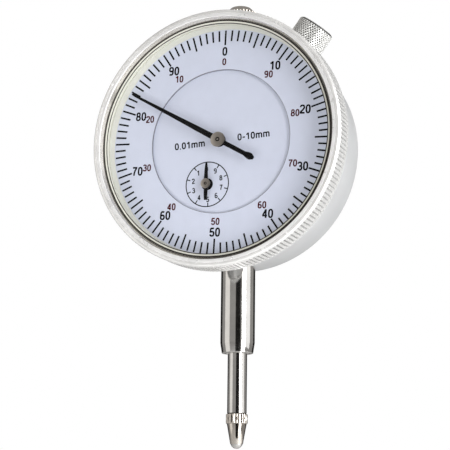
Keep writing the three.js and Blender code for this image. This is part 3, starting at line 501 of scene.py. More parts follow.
# Black for the painted shade round and behind the hand hubs.
HUB_SHADE_BLACK = print_ink("hub_shade_black", (0.002, 0.002, 0.002), 0.5)
CRYSTAL_CLEAR = clear_crystal("crystal_clear")

SLOT_MATERIALS = {
    "satin_case": CASE_SATIN,
    "satin_bezel": BEZEL_CHROME,
    "polished_steel": STEM_STEEL,
    "steel": SCREW_STEEL,
    "brass": BRASS,
    "dial_face": DIAL_BLUE,
    "black_paint": HAND_BLACK,
    "crystal": CRYSTAL_CLEAR,
    "gasket": SEAT_CREAM,
}


def finish_cad_nodes():
    """Gives every CAD node the material of its slot; the nodes that stay visible keep it."""
    for part in frame["record"]["subparts"]:
        node = frame["nodes"][part["node"]]
        for slot in node.material_slots:
            slot.material = SLOT_MATERIALS[part["material_slot"]]


# ------------------------------------------------------------------ bezel and crystal

KNURL_COUNT = 190
KNURL_DEPTH = 0.22
KNURL_CREST = BEZEL_R - 0.02
KNURL_FRONT = BEZEL_FRONT + 0.7
BEZEL_SHOULDER = -10.9    # back face of the knurled band
KNURL_BACK = BEZEL_SHOULDER - 0.3
CORNER_R = BEZEL_R - 0.14             # where the rounded corner meets the knurled band
CORE_R = BEZEL_R - 1.0                # inside of the band, and outside of the ring that holds it
SPIGOT_R = CASE_R - 2.3
SPIGOT_BORE = SPIGOT_R - 1.3
MOUTH_R = 28.45           # front of the polished cone inside the lip
MOUTH_DEPTH = 0.2         # and how far it starts behind the lip
BEZEL_BORE = 27.95
SEAT_FRONT = CRYSTAL_FRONT - 0.6      # front of the ring that holds the crystal


def straight_knurl(count, depth, front, back, least_r, fade=0.25):
    """A radius change that cuts count sharp-crested teeth between two heights, into the points
    of a profile that are beyond the least radius."""
    steepness = 3.4       # a groove is 2 / steepness of the pitch wide

    def change(turn, radius, height):
        inside = min(height - front, back - height)
        if inside <= 0 or radius <= least_r:
            return 0.0
        place = turn * count / (2 * math.pi) % 1.0
        groove = 1 - min(1.0, steepness * abs(place - 0.5))
        return -depth * groove * min(inside / fade, 1.0)
    return change


def bezel_ring():
    """The lip, the core that the knurled band sits on, and the spigot that turns in the case."""
    groove, lip_r, seam_r, liner_r = 0.12, 0.16, MOUTH_R + 0.02, BEZEL_BORE + 0.3
    floor_y = SCALE_BACK + 0.05
    profile = [(SPIGOT_BORE, BEZEL_BACK), (SPIGOT_R, BEZEL_BACK), (SPIGOT_R, BEZEL_SHOULDER)]
    profile += [(CORE_R, BEZEL_SHOULDER), (CORE_R, BEZEL_FRONT + groove)]
    profile += [(CORE_R - 0.1, BEZEL_FRONT + groove), (CORE_R - 0.14, BEZEL_FRONT)]
    profile += arc((MOUTH_R + 0.2, BEZEL_FRONT + lip_r), lip_r, -90, -150, 3)
    profile += [(seam_r, BEZEL_FRONT + MOUTH_DEPTH), (seam_r, CRYSTAL_FRONT)]
    profile += [(liner_r, CRYSTAL_FRONT), (liner_r, floor_y), (SPIGOT_BORE, floor_y)]
    mesh = turned("bezel_ring_fine", profile, IN_DEPTH, 256, closed=True, angle=28)
    add_object(mesh, BEZEL_CHROME, "bezel", "bezel_ring")


def bezel_knurl():
    steps = 6
    band = [KNURL_BACK + (KNURL_FRONT - KNURL_BACK) * k / steps for k in range(1, steps)]
    profile = [(CORE_R, BEZEL_SHOULDER), (BEZEL_R - 0.35, BEZEL_SHOULDER), (KNURL_CREST, KNURL_BACK)]
    profile += [(KNURL_CREST, y) for y in band]
    profile += [(KNURL_CREST, KNURL_FRONT + 0.08), (CORNER_R, KNURL_FRONT), (CORE_R, KNURL_FRONT)]
    teeth = straight_knurl(KNURL_COUNT, KNURL_DEPTH, KNURL_FRONT, KNURL_BACK, BEZEL_R - 0.1)
    mesh = turned("bezel_knurl", profile, IN_DEPTH, KNURL_COUNT * 8, closed=True, depth=teeth, angle=25)
    add_object(mesh, KNURL_CHROME, "bezel")


def bezel_corner():
    """The rounded corner in front of the knurled band."""
    corner = 0.5
    profile = [(CORE_R, KNURL_FRONT), (CORNER_R, KNURL_FRONT)]
    profile += arc((CORNER_R - corner, BEZEL_FRONT + corner), corner, -4, -84, 7)
    profile += [(CORE_R + 0.05, BEZEL_FRONT + 0.01), (CORE_R, BEZEL_FRONT + 0.08)]
    mesh = turned("bezel_corner", profile, IN_DEPTH, 256, closed=True)
    add_object(mesh, EDGE_CHROME, "bezel")


def bezel_mouth():
    """The polished cone between the lip and the crystal's ring."""
    seam_r, liner_r = MOUTH_R + 0.02, BEZEL_BORE + 0.3
    profile = [(MOUTH_R, BEZEL_FRONT + MOUTH_DEPTH), (BEZEL_BORE, SEAT_FRONT), (BEZEL_BORE, SCALE_BACK)]
    profile += [(liner_r, SCALE_BACK), (liner_r, CRYSTAL_FRONT)]
    profile += [(seam_r, CRYSTAL_FRONT), (seam_r, BEZEL_FRONT + MOUTH_DEPTH)]
    mesh = turned("bezel_mouth", profile, IN_DEPTH, 256, closed=True, angle=15)
    add_object(mesh, MOUTH_CHROME, "bezel")


def crystal():
    edge = 0.1
    profile = [(0, CRYSTAL_FRONT), (CRYSTAL_R - edge, CRYSTAL_FRONT)]
    profile += [(CRYSTAL_R, CRYSTAL_FRONT + edge), (CRYSTAL_R, CRYSTAL_BACK), (0, CRYSTAL_BACK)]
    mesh = turned("crystal_fine", profile, IN_DEPTH, 192)
    add_object(mesh, CRYSTAL_CLEAR, "bezel", "crystal")


def crystal_seat():
    """The cream ring that wraps the crystal's edge, with a painted shadow line inside it and a dark rubber
    bead outside it."""
    wall_low, shelf, line_low, lip = 26.7, 27.15, 27.0, 27.22
    outer, bead_inner = BEZEL_BORE - 0.02, BEZEL_BORE - 0.38
    back = SCALE_FRONT - 0.05
    profile = [(wall_low, back), (outer, back), (outer, SEAT_FRONT + 0.05), (bead_inner, SEAT_FRONT + 0.05)]
    profile += [(bead_inner, SEAT_FRONT - 0.15), (bead_inner - 0.06, SEAT_FRONT - 0.18), (lip, SEAT_FRONT)]
    profile += [(line_low, SEAT_FRONT), (line_low, CRYSTAL_FRONT - 0.01)]
    profile += [(CRYSTAL_R + 0.02, CRYSTAL_FRONT - 0.01), (CRYSTAL_R + 0.02, CRYSTAL_BACK + 0.05)]
    profile += [(shelf, CRYSTAL_BACK + 0.05)]
    mesh = turned("crystal_gasket_fine", profile, IN_DEPTH, 192, closed=True)
    add_object(mesh, SEAT_CREAM, "bezel", "crystal_gasket")
    half = (outer - bead_inner) / 2
    profile = arc((bead_inner + half, SEAT_FRONT + 0.04), half, 180, 360, 8)
    mesh = turned("crystal_seal", profile, IN_DEPTH, 192, closed=True)
    add_object(mesh, SEAL_RUBBER_AND_SHADE, "bezel")
    # Painted shade: a thin dark ring on the seat's front stands for the shadow line between the seat's lip
    # and the dial.
    mesh = ring_mesh("crystal_shadow_line", line_low, lip, SEAT_FRONT - 0.02, SEAT_FRONT)
    add_object(mesh, SEAL_RUBBER_AND_SHADE, "bezel")


# ------------------------------------------------------------------ dial printing

INK = 0.014               # mm that the printing stands proud
INK_ROOT = 0.004          # and how far it reaches into the dial
INK_LAYER = 0.0006        # between the strokes of a figure, so that no two faces are in one plane


def ring_mesh(name, inner, outer, front, back, centre=DIAL, segments=192):
    profile = [(inner, back), (outer, back), (outer, front), (inner, front)]
    return turned(name, profile, in_depth_at(centre), segments, closed=True)


def marks_mesh(name, bars, front, centre):
    """Thin printed bars. Each bar is (clock degrees, inner radius, outer radius, width), in mm."""
    points, faces = [], []
    for clock, inner, outer, width in bars:
        start = len(points)
        side_x, side_z = on_clock(clock + 90, width / 2)
        for depth in (front + INK_ROOT, front - INK):
            for radius in (inner, outer):
                x, z = on_clock(clock, radius)
                for sign in (-1, 1):
                    point = ((x + sign * side_x) * MM, depth * MM, (z + sign * side_z) * MM)
                    points.append(Vector(point) + centre)
        for quad in ((0, 1, 3, 2), (4, 6, 7, 5), (0, 4, 5, 1), (2, 3, 7, 6), (0, 2, 6, 4), (1, 5, 7, 3)):
            faces.append([start + k for k in quad])
    return mesh_from(name, points, faces, 30)


def bow(centre_x, centre_z, half_width, half_height, start, end):
    """A bowl of a letter: points of an oval arc, counter-clockwise from the right."""
    steps = max(4, round(abs(end - start) / 15))
    points = []
    for k in range(steps + 1):
        angle = math.radians(start + (end - start) * k / steps)
        across, up = math.cos(angle), math.sin(angle)
        squared = 1 + 0.09 * math.sin(2 * angle) ** 2
        points.append((centre_x + half_width * across * squared, centre_z + half_height * up * squared))
    return points


STROKE = 0.195            # stroke width, as a share of the height of a figure
SIX = [bow(0.005, 0.30, 0.185, 0.225, 0, 360),
       [(-0.18, 0.30)] + bow(0.03, 0.52, 0.21, 0.405, 178, 50)]
# The middle lines of each figure's strokes. A figure is 1 high, and its middle is at x 0.
FIGURES = {
    "0": [bow(0, 0.5, 0.185, 0.425, 0, 360)],
    "1": [[(0.06, 0), (0.06, 0.98)], [(-0.2, 0.74), (-0.06, 0.79), (0.02, 0.9), (0.05, 0.98)]],
    "2": [bow(0, 0.70, 0.19, 0.225, 175, -25) + [(0.06, 0.42), (-0.14, 0.22), (-0.19, 0.07)],
          [(-0.26, 0.07), (0.25, 0.07)]],
    "3": [bow(-0.005, 0.71, 0.17, 0.21, 165, -85) + [(-0.06, 0.5)], bow(0, 0.295, 0.195, 0.22, 85, -165)],
    "4": [[(0.1, 0), (0.1, 0.98)], [(0.1, 0.95), (-0.21, 0.30)], [(-0.26, 0.27), (0.25, 0.27)]],
    "5": [[(-0.15, 0.925), (0.21, 0.925)], [(-0.14, 0.95), (-0.18, 0.44)],
          bow(0.0, 0.32, 0.19, 0.245, 140, -165)],
    "6": SIX,
    "7": [[(-0.24, 0.925), (0.25, 0.925)], [(0.2, 0.92), (0.03, 0.6), (-0.05, 0.32), (-0.08, 0)]],
    "8": [bow(0, 0.72, 0.155, 0.205, 0, 360), bow(0, 0.29, 0.19, 0.215, 0, 360)],
    "9": [[(-x, 1 - z) for x, z in stroke] for stroke in SIX],
    "m": [[(-0.32, 0), (-0.32, 0.74)], bow(-0.16, 0.52, 0.16, 0.15, 180, 0) + [(0, 0)],
          bow(0.16, 0.52, 0.16, 0.15, 180, 0) + [(0.32, 0)]],
    ".": [[(0, 0), (0, 0.15)]],
    "-": [[(-0.15, 0.4), (0.15, 0.4)]],
}
WIDTHS = {".": 0.30, "-": 0.44, "m": 0.92}
FIGURE_WIDTH = 0.61


def stroke_sides(points, half):
    """The two edges of a stroke of a given half width along a middle line."""
    closed = len(points) > 3 and math.dist(points[0], points[-1]) < 1e-6
    line = points[:-1] if closed else points
    count = len(line)
    left, right = [], []
    for k in range(count):
        before = line[k - 1] if closed or k else line[0]
        after = line[(k + 1) % count] if closed or k < count - 1 else line[-1]
        run, rise = after[0] - before[0], after[1] - before[1]
        length = math.hypot(run, rise)
        side_x, side_z = -rise / length * half, run / length * half
        left.append((line[k][0] + side_x, line[k][1] + side_z))
        right.append((line[k][0] - side_x, line[k][1] - side_z))
    return left, right, closed


def text_mesh(name, texts, front, centre, turn, stretch=1.1):
    """Printed figures, built from strokes. Each text is (text, x mm, z mm, height mm), in the
    dial's own upright frame, which is turned by turn clock degrees."""
    points, faces = [], []
    twist = math.radians(turn)

    def place(x, z, depth):
        turned_x = x * math.cos(twist) + z * math.sin(twist)
        turned_z = z * math.cos(twist) - x * math.sin(twist)
        return centre + Vector((turned_x, depth, turned_z)) * MM

    for text, x, z, height in texts:
        widths = [WIDTHS.get(letter, FIGURE_WIDTH) * stretch for letter in text]
        pen = -sum(widths) / 2
        for letter, width in zip(text, widths):
            for layer, middle_line in enumerate(FIGURES[letter]):
                line = [(px * stretch, pz) for px, pz in middle_line]
                left, right, closed = stroke_sides(line, STROKE / 2)
                start, count = len(points), len(left)
                top = front - INK - INK_LAYER * layer
                for depth in (front + INK_ROOT, top):
                    for side in (left, right):
                        for px, pz in side:
                            across = x + (pen + width / 2 + px) * height
                            points.append(place(across, z + (pz - 0.5) * height, depth))
                base_left, base_right, top_left, top_right = (start + count * k for k in range(4))
                for k in range(count if closed else count - 1):
                    j = (k + 1) % count
                    faces.append((top_left + k, top_left + j, top_right + j, top_right + k))
                    faces.append((base_left + k, base_right + k, base_right + j, base_left + j))
                    faces.append((base_left + k, base_left + j, top_left + j, top_left + k))
                    faces.append((base_right + k, top_right + k, top_right + j, base_right + j))
                if not closed:
                    for k in (0, count - 1):
                        faces.append((base_left + k, top_left + k, top_right + k, base_right + k))
            pen += width
    return mesh_from(name, points, faces, 30)


MARK_OUTER = 26.5
MARK_INNER = 23.9
LONG_MARK_INNER = 22.95
MARK_WIDTH = 0.41
BLACK_ROW, BLACK_HEIGHT = 21.45, 2.05
RED_ROW, RED_HEIGHT = 18.95, 1.62
SCALE_BORE = 17.0


def scale_ring():
    mesh = ring_mesh("scale_ring_fine", SCALE_BORE, 27.2, SCALE_FRONT, SCALE_BACK)
    add_object(mesh, DIAL_BLUE, "bezel", "scale_ring")
    # Painted shade: a dark ring on the bore's wall and the front face's inner edge stands for the shadow at
    # the step down to the fixed disc.
    mesh = ring_mesh("scale_ring_edge_shade", SCALE_BORE - 0.02, SCALE_BORE + 0.1,
                     SCALE_FRONT - INK, SCALE_BACK - 0.005)
    add_object(mesh, DIAL_EDGE_SHADE, "bezel")


def scale_printing():
    bars = []
    for mark in range(100):
        inner = LONG_MARK_INNER if mark % 5 == 0 else MARK_INNER
        bars.append((SCALE_TURN + 3.6 * mark, inner, MARK_OUTER, MARK_WIDTH))
    mesh = marks_mesh("scale_marks", bars, SCALE_FRONT, DIAL)
    add_object(mesh, BLACK_INK, "bezel")
    black, red = [], []
    for ten in range(10):
        x, z = on_clock(36 * ten, BLACK_ROW)
        black.append((str(10 * ten), x, z, BLACK_HEIGHT))
        x, z = on_clock(36 * ten, RED_ROW)
        red.append((str((100 - 10 * ten) % 100), x, z, RED_HEIGHT))
    mesh = text_mesh("scale_numbers", black, SCALE_FRONT, DIAL, SCALE_TURN)
    add_object(mesh, BLACK_INK, "bezel")
    mesh = text_mesh("scale_red_numbers", red, SCALE_FRONT, DIAL, SCALE_TURN)
    add_object(mesh, RED_INK, "bezel")


def fixed_disc():
    """The disc inside the scale, with a hole for the turn-count arbor."""
    centre_hole, count_hole = 0.9, 0.8
    profile = [(centre_hole, DISC_BACK), (DISC_R, DISC_BACK)]
    profile += [(DISC_R, DISC_FRONT), (centre_hole, DISC_FRONT)]
    mesh = turned("inner_dial_fine", profile, IN_DEPTH, 192, closed=True)
    disc = add_object(mesh, DIAL_BLUE, "case", "inner_dial")
    front, back = DISC_FRONT - 1, DISC_BACK + 1
    hole = turned("hole", rod(count_hole, front, back), in_depth_at(COUNT), 48)
    combine(disc, loose(hole), "DIFFERENCE")


def disc_printing():
    """The turn-count dial and the unit words."""
    top, base = DISC_FRONT - INK, DISC_FRONT + INK_ROOT
    mesh = ring_mesh("turn_count_circle", 5.13, 5.37, top, base, COUNT)
    add_object(mesh, BLACK_INK, "case")
    # Painted shade: a black spot round the arbor's hole stands for the dark hole and the shadow of the hub
    # above it.
    mesh = ring_mesh("turn_count_shade_spot", 0.85, 1.4, top, base, COUNT, 48)
    add_object(mesh, BLACK_INK, "case")
    bars = [(DISC_TURN + 36 * k, 4.35, 5.2, 0.24) for k in range(10)]
    mesh = marks_mesh("turn_count_marks", bars, DISC_FRONT, COUNT)
    add_object(mesh, BLACK_INK, "case")
    digits = []
    for k in range(10):
        x, z = on_clock(-36 * k, 3.6)
        digits.append((str(k), x, z, 1.2))
    mesh = text_mesh("turn_count_numbers", digits, DISC_FRONT, COUNT, DISC_TURN)
    add_object(mesh, BLACK_INK, "case")
    words = [("0.01mm", -7.7, 0.1, 1.6), ("0-10mm", 8.1, 0.4, 1.6)]
    mesh = text_mesh("unit_words", words, DISC_FRONT, DIAL, DISC_TURN, stretch=1.22)
    add_object(mesh, BLACK_INK, "case")


# ------------------------------------------------------------------ hands


def hand_outline(stations, clock, hub_radius):
    """The outline of a hand: stations along a clock angle, with a round eye at the hub. Each
    station is (distance from the hub, half width)."""
    steps = 10
    right = [s for s in stations if s[0] > hub_radius]
    left = [s for s in stations if s[0] < -hub_radius]
    local = []
    for along, half in reversed(right):
        local.append((along, half))
    eye_half = math.asin(right[0][1] / hub_radius)
    tail_half = math.asin(left[-1][1] / hub_radius)
    for k in range(steps + 1):
        angle = eye_half + (math.pi - tail_half - eye_half) * k / steps
        local.append((hub_radius * math.cos(angle), hub_radius * math.sin(angle)))
    for along, half in reversed(left):
        local.append((along, half))
    mirrored = [(a, -h) for a, h in reversed(local)]
    whole = local + [p for p in mirrored if p not in local]
    outline = []
    for along, half in whole:
        ax, az = on_clock(clock, along)
        sx, sz = on_clock(clock + 90, half)
        outline.append((ax + sx, az + sz))
    return outline


def hub(name, node, disc, collar, blade, centre, body):
    """The turned boss that a hand is riveted to, with the arbor's end showing in its middle. Black rings
    round the arbor's end, under the boss's face and behind the hand are painted shade.
    """
    front, back = blade
    face, base = mm_low(node, Y), mm_high(node, Y)
    under, floor_y = face + 0.1, face + 0.08
    pin, groove = 0.14 * disc, 0.29 * disc
    profile = [(0, face + 0.02), (pin - 0.02, face + 0.03), (pin, floor_y), (groove, floor_y)]
    profile += [(groove + 0.03, face + 0.01), (disc - 0.1, face), (disc, face + 0.06)]
    profile += [(disc, under), (0, under)]
    mesh = turned(name, profile, in_depth_at(centre), 64)
    add_object(mesh, HUB_STEEL, body, node)
    # Painted shade: black rings in the groove round the arbor's end, under the face and behind the hand.
    rings = [("ring", pin + 0.01, groove - 0.01, face + 0.05, floor_y),
             ("under", 0.0, disc, under, front - 0.03),
             ("collar", 0.5, collar, back + 0.02, base)]
    for part, inner, outer, start, end in rings:
        mesh = ring_mesh(f"{name}_{part}", inner, outer, start, end, centre, 64)
        add_object(mesh, HUB_SHADE_BLACK, body)


def hands():
    front, back = mm_low("main_hand", Y), mm_high("main_hand", Y)
    stations = [(-10.1, 0.3), (-9.2, 0.8), (-8.4, 0.74), (-7.5, 0.52), (-3.0, 0.54), (-1.4, 0.56),
                (1.5, 0.68), (6.0, 0.62), (14.0, 0.46), (21.0, 0.34), (24.6, 0.28), (25.6, 0.14)]
    outline = hand_outline(stations, HAND_CLOCK, 1.35)
    mesh = prism("main_hand_fine", outline, front, back, DIAL, 0.03)
    add_object(mesh, HAND_BLACK, "centre_train", "main_hand")
    hub("main_hand_hub_fine", "main_hand_hub", 1.75, 1.5, (front, back), DIAL, "centre_train")
    front, back = mm_low("turn_count_hand", Y), mm_high("turn_count_hand", Y)
    stations = [(-3.85, 0.34), (-3.0, 0.42), (-1.0, 0.46), (1.0, 0.48), (3.2, 0.38), (5.0, 0.22)]
    outline = hand_outline(stations, COUNT_HAND_CLOCK, 0.85)
    mesh = prism("turn_count_hand_fine", outline, front, back, COUNT, 0.02)
    add_object(mesh, HAND_BLACK, "counter_train", "turn_count_hand")
    hub("turn_count_hub_fine", "turn_count_hub", 1.15, 1.1, (front, back), COUNT, "counter_train")


# ------------------------------------------------------------------ case, stem and plunger


def case_body():
    corner, front_edge, bore = 1.1, 0.15, CASE_R - 2.0
    shelf_r, shelf_front, shelf_back = 20.5, 3.4, 4.8
    profile = [(bore, CASE_FRONT), (CASE_R - front_edge, CASE_FRONT)]
    profile += arc((CASE_R - front_edge, CASE_FRONT + front_edge), front_edge, -90, 0, 3)[1:]
    profile += arc((CASE_R - corner, CASE_BACK - corner), corner, 0, 90, 8)
    profile += [(bore - 0.05, CASE_BACK), (bore - 0.05, shelf_back), (shelf_r, shelf_back)]
    profile += [(shelf_r, shelf_front), (bore, shelf_front)]
    mesh = turned("case_body_fine", profile, IN_DEPTH, 256, closed=True)
    case = add_object(mesh, CASE_SATIN, "case", "case_body")
    dial_z = DIAL.z / MM
    stem_hole = rod(STEM_R + 0.02, dial_z - CASE_R - 1, dial_z - bore + 1)
    bush_hole = rod(3.02, dial_z + bore - 1, dial_z + CASE_R + 1)
    clamp_hole = rod(1.5, bore - 1, CASE_R + 1)
    holes = [("stem_hole", stem_hole, UPRIGHT, 64), ("bush_hole", bush_hole, UPRIGHT, 64),
             ("clamp_hole", clamp_hole, CLAMP_PLACE, 32)]
    for name, outline, place, segments in holes:
        tool = turned(name, outline, place, segments)
        combine(case, loose(tool), "DIFFERENCE")


def stem():
    low_z, high_z = mm_low("stem", Z), mm_high("stem", Z)
    nose_r, edge, bore = STEM_R - 0.5, 0.15, 2.6
    shoulder = low_z + 2.3
    profile = [(bore, low_z + 0.3), (bore + 0.25, low_z), (nose_r, low_z)]
    profile += arc((nose_r, low_z + edge), edge, -90, -8, 3)[1:]
    profile += [(STEM_R - 0.03, shoulder - 0.1), (STEM_R, shoulder + 0.15)]
    profile += [(STEM_R, high_z), (bore, high_z)]
    mesh = turned("stem_fine", profile, UPRIGHT, 128, closed=True)
    add_object(mesh, STEM_STEEL, "case", "stem")


RACK_PITCH = 0.625
RACK_TIP, RACK_ROOT = -1.759, -1.381      # x of the tooth tips and roots
RACK_BELOW, RACK_ABOVE = 20, 3            # teeth below and above the counter arbor's height


def rack_cutter(radius):
    """Everything to the left of the rack's teeth, cut away from the rod."""
    outline = []
    for tooth in range(-RACK_BELOW, RACK_ABOVE + 1):
        z = COUNT.z / MM + tooth * RACK_PITCH
        outline += [(RACK_ROOT, z - 0.4 * RACK_PITCH), (RACK_TIP, z - 0.13 * RACK_PITCH)]
        outline += [(RACK_TIP, z + 0.13 * RACK_PITCH), (RACK_ROOT, z + 0.4 * RACK_PITCH)]
    far = -radius - 1
    outline = [(far, outline[0][1])] + outline + [(far, outline[-1][1])]
    return prism("rack_cutter", outline, far, -far, Vector((0, 0, 0)))


def plunger():
    low_z, high_z = mm_low("plunger_rod", Z), mm_high("plunger_rod", Z)
    radius, thin_r = mm_radius("plunger_rod", Y), 2.0
    step = high_z - 13.1
    profile = [(0, low_z), (radius - 0.12, low_z), (radius, low_z + 0.12), (radius, step)]
    profile += [(thin_r, step), (thin_r, high_z - 0.4), (thin_r - 0.4, high_z), (0, high_z)]
    mesh = turned("plunger_rod_fine", profile, UPRIGHT, 96)
    piece = add_object(mesh, STEM_STEEL, "plunger", "plunger_rod")
    combine(piece, loose(rack_cutter(radius)), "DIFFERENCE")


COLLAR_TOP = mm_low("plunger_rod", Z) - 0.05
COLLAR_LOW = COLLAR_TOP - 2.3


def contact_point():
    """The tapered nose below the collar."""
    tip = mm_low("contact_ball", Z) + 1.05
    profile = [(0, COLLAR_LOW + 0.02), (2.27, COLLAR_LOW), (1.475, tip + 0.1), (1.42, tip), (0, tip)]
    mesh = turned("contact_point_fine", profile, UPRIGHT, 128)
    add_object(mesh, POINT_STEEL, "plunger", "contact_point")


def contact_collar():
    edge, steps, knurl_height = 0.15, 4, 2.0
    crest_top = COLLAR_TOP - edge
    profile = [(0, COLLAR_TOP), (COLLAR_R - 0.2, COLLAR_TOP), (COLLAR_R, crest_top)]
    profile += [(COLLAR_R, crest_top - knurl_height * k / steps) for k in range(1, steps + 1)]
    profile += [(COLLAR_R - 0.15, COLLAR_LOW + 0.02), (COLLAR_R - 0.25, COLLAR_LOW), (0, COLLAR_LOW)]
    teeth = straight_knurl(20, 0.2, COLLAR_TOP - 2.2, COLLAR_TOP - 0.1, COLLAR_R - 0.1, fade=0.2)
    mesh = turned("contact_collar", profile, UPRIGHT, 200, depth=teeth, angle=30)
    add_object(mesh, COLLAR_STEEL, "plunger")


def contact_ball():
    radius = mm_radius("contact_ball", Z)
    centre = mm_low("contact_ball", Z) + radius
    profile = [(0, centre - radius)] + arc((0, centre), radius, -80, 80, 20) + [(0, centre + radius)]
    mesh = turned("contact_ball_fine", profile, UPRIGHT, 64)
    add_object(mesh, BALL_STEEL, "plunger", "contact_ball")


def top_cap():
    low_z, high_z = mm_low("top_cap", Z), mm_high("top_cap", Z)
    radius, bore, edge = mm_radius("top_cap"), 2.6, 0.1
    face_r, neck_r, skirt_r = radius - 1.6, radius - 0.35, radius - 0.1
    knurl_top, knurl_height, steps = high_z - 1.35, 4.6, 8
    profile = [(0, high_z), (face_r, high_z)] + arc((face_r, high_z - edge), edge, 90, 45, 2)
    profile += [(radius - 0.45, high_z - 1.1), (radius, knurl_top)]
    profile += [(radius, knurl_top - knurl_height * k / steps) for k in range(1, steps + 1)]
    profile += [(neck_r, high_z - 6.15), (neck_r, high_z - 6.7), (skirt_r, high_z - 6.9)]
    profile += [(skirt_r, low_z + 0.15), (radius - 0.25, low_z), (bore, low_z)]
    profile += [(bore, high_z - 1.7), (0, high_z - 1.7)]
    teeth = straight_knurl(30, 0.28, high_z - 6.2, high_z - 0.9, radius - 0.9, fade=0.5)
    mesh = turned("top_cap_fine", profile, UPRIGHT, 240, depth=teeth, angle=30)
    add_object(mesh, POINT_STEEL, "case", "top_cap")


# ------------------------------------------------------------------ bezel clamp

CLAMP_HELIX = math.radians(37)


def clamp_knob():
    """The bezel clamp's knob, with crossed grooves that leave diamonds, and its screw."""
    screw_r, screw_end, bottom, top = 1.4, 26.75, 28.9, 35.05
    start, end, rows = bottom + 0.35, top - 0.55, 84
    starts, depth, fullness = 40, 0.28, 1.35
    lead = 2 * math.pi * KNOB_R / starts / math.tan(CLAMP_HELIX)
    profile = [(0, screw_end), (screw_r, screw_end), (screw_r, bottom)]
    profile += [(KNOB_R - 0.35, bottom), (KNOB_R, start)]
    profile += [(KNOB_R, start + (end - start) * k / rows) for k in range(1, rows)]
    profile += [(KNOB_R, end), (KNOB_R - 0.2, top - 0.28), (KNOB_R - 0.62, top)]
    profile += [(KNOB_R - 1.0, top - 0.03), (0, top)]

    def diamonds(turn, radius, height):
        if radius < KNOB_R - 0.01:
            return 0.0
        left = abs(math.sin(starts * turn / 2 + math.pi * height / lead))
        right = abs(math.sin(starts * turn / 2 - math.pi * height / lead))
        return -depth * max(0.0, 1 - (left + right) / fullness)
    mesh = turned("clamp_knob_fine", profile, CLAMP_PLACE, starts * 10, depth=diamonds, angle=20)
    add_object(mesh, CLAMP_CHROME, "clamp_knob", "clamp_knob")


# ------------------------------------------------------------------ back

COVER_SCREW_CLOCKS = (45, 135, 225, 315)
COVER_SCREW_CIRCLE = 23.3
COVER_FACE = 6.4


def screw_centre(clock):
    x, z = on_clock(clock, COVER_SCREW_CIRCLE)
    return DIAL + Vector((x * MM, 0, z * MM))


def back_cover():
    """The back cover and its lug, with a recess for each screw's head."""
    front, radius = mm_low("back_cover", Y), mm_radius("back_cover")
    edge, pad_r, pad_height, fillet = 0.25, 9.0, 1.0, 0.7
    profile = [(0, front), (radius, front), (radius, COVER_FACE - edge)]
    profile += arc((radius - edge, COVER_FACE - edge), edge, 0, 90, 4)
    profile += [(pad_r + 1.2, COVER_FACE)]
    profile += arc((pad_r + 1.2, COVER_FACE + fillet), fillet, -90, -180, 5)[1:]
    profile += arc((pad_r + 0.2, COVER_FACE + fillet), 0.3, 0, 90, 4) + [(0, COVER_FACE + pad_height)]
    mesh = turned("back_cover_fine", profile, IN_DEPTH, 192)
    cover = add_object(mesh, CASE_SATIN, "case", "back_cover")
    combine(cover, loose(lug_mesh()), "UNION")
    head = [(0, 5.5), (1.68, 5.5), (1.85, 6.6), (0, 6.6)]
    for clock in COVER_SCREW_CLOCKS:
        tool = turned("recess", head, in_depth_at(screw_centre(clock)), 32)
        combine(cover, loose(tool), "DIFFERENCE")


def lug_mesh():
    """The flat lug, with rounded edges and a hole that is countersunk from both sides."""
    radius, depth, half = 5.9, 14.5, 2.5
    root = COVER_FACE - 0.5
    shape = bmesh.new()
    outline = [(root, -radius)] + arc((depth, 0), radius, -90, 90, 32) + [(root, radius)]
    ring = [shape.verts.new((-half * MM, y * MM, z * MM + DIAL.z)) for y, z in outline]
    face = shape.faces.new(ring)
    made = bmesh.ops.extrude_face_region(shape, geom=[face])
    moved = [v for v in made["geom"] if isinstance(v, bmesh.types.BMVert)]
    bmesh.ops.translate(shape, verts=moved, vec=(2 * half * MM, 0, 0))
    rims = [e for e in shape.edges if abs(e.verts[0].co.x - e.verts[1].co.x) < 1e-9]
    bmesh.ops.bevel(shape, geom=rims, offset=0.5 * MM, segments=3, affect="EDGES", profile=0.5)
    bmesh.ops.recalc_face_normals(shape, faces=shape.faces)
    mesh = bpy.data.meshes.new("lug")
    shape.to_mesh(mesh)
    shape.free()
    lug = loose(mesh)
    place = Matrix.Translation(Vector((0, depth * MM, DIAL.z))) @ Matrix.Rotation(math.radians(90), 4, "Y")
    hole, past = 3.25, 4
    wide, neck = hole + 0.5, half - 0.4
    profile = [(0, -past), (wide, -past), (wide, -half), (hole, -neck)]
    profile += [(hole, neck), (wide, half), (wide, past), (0, past)]
    combine(lug, loose(turned("lug_hole", profile, place, 64)), "DIFFERENCE")
    result = lug.data.copy()
    bpy.data.objects.remove(lug)
    return result


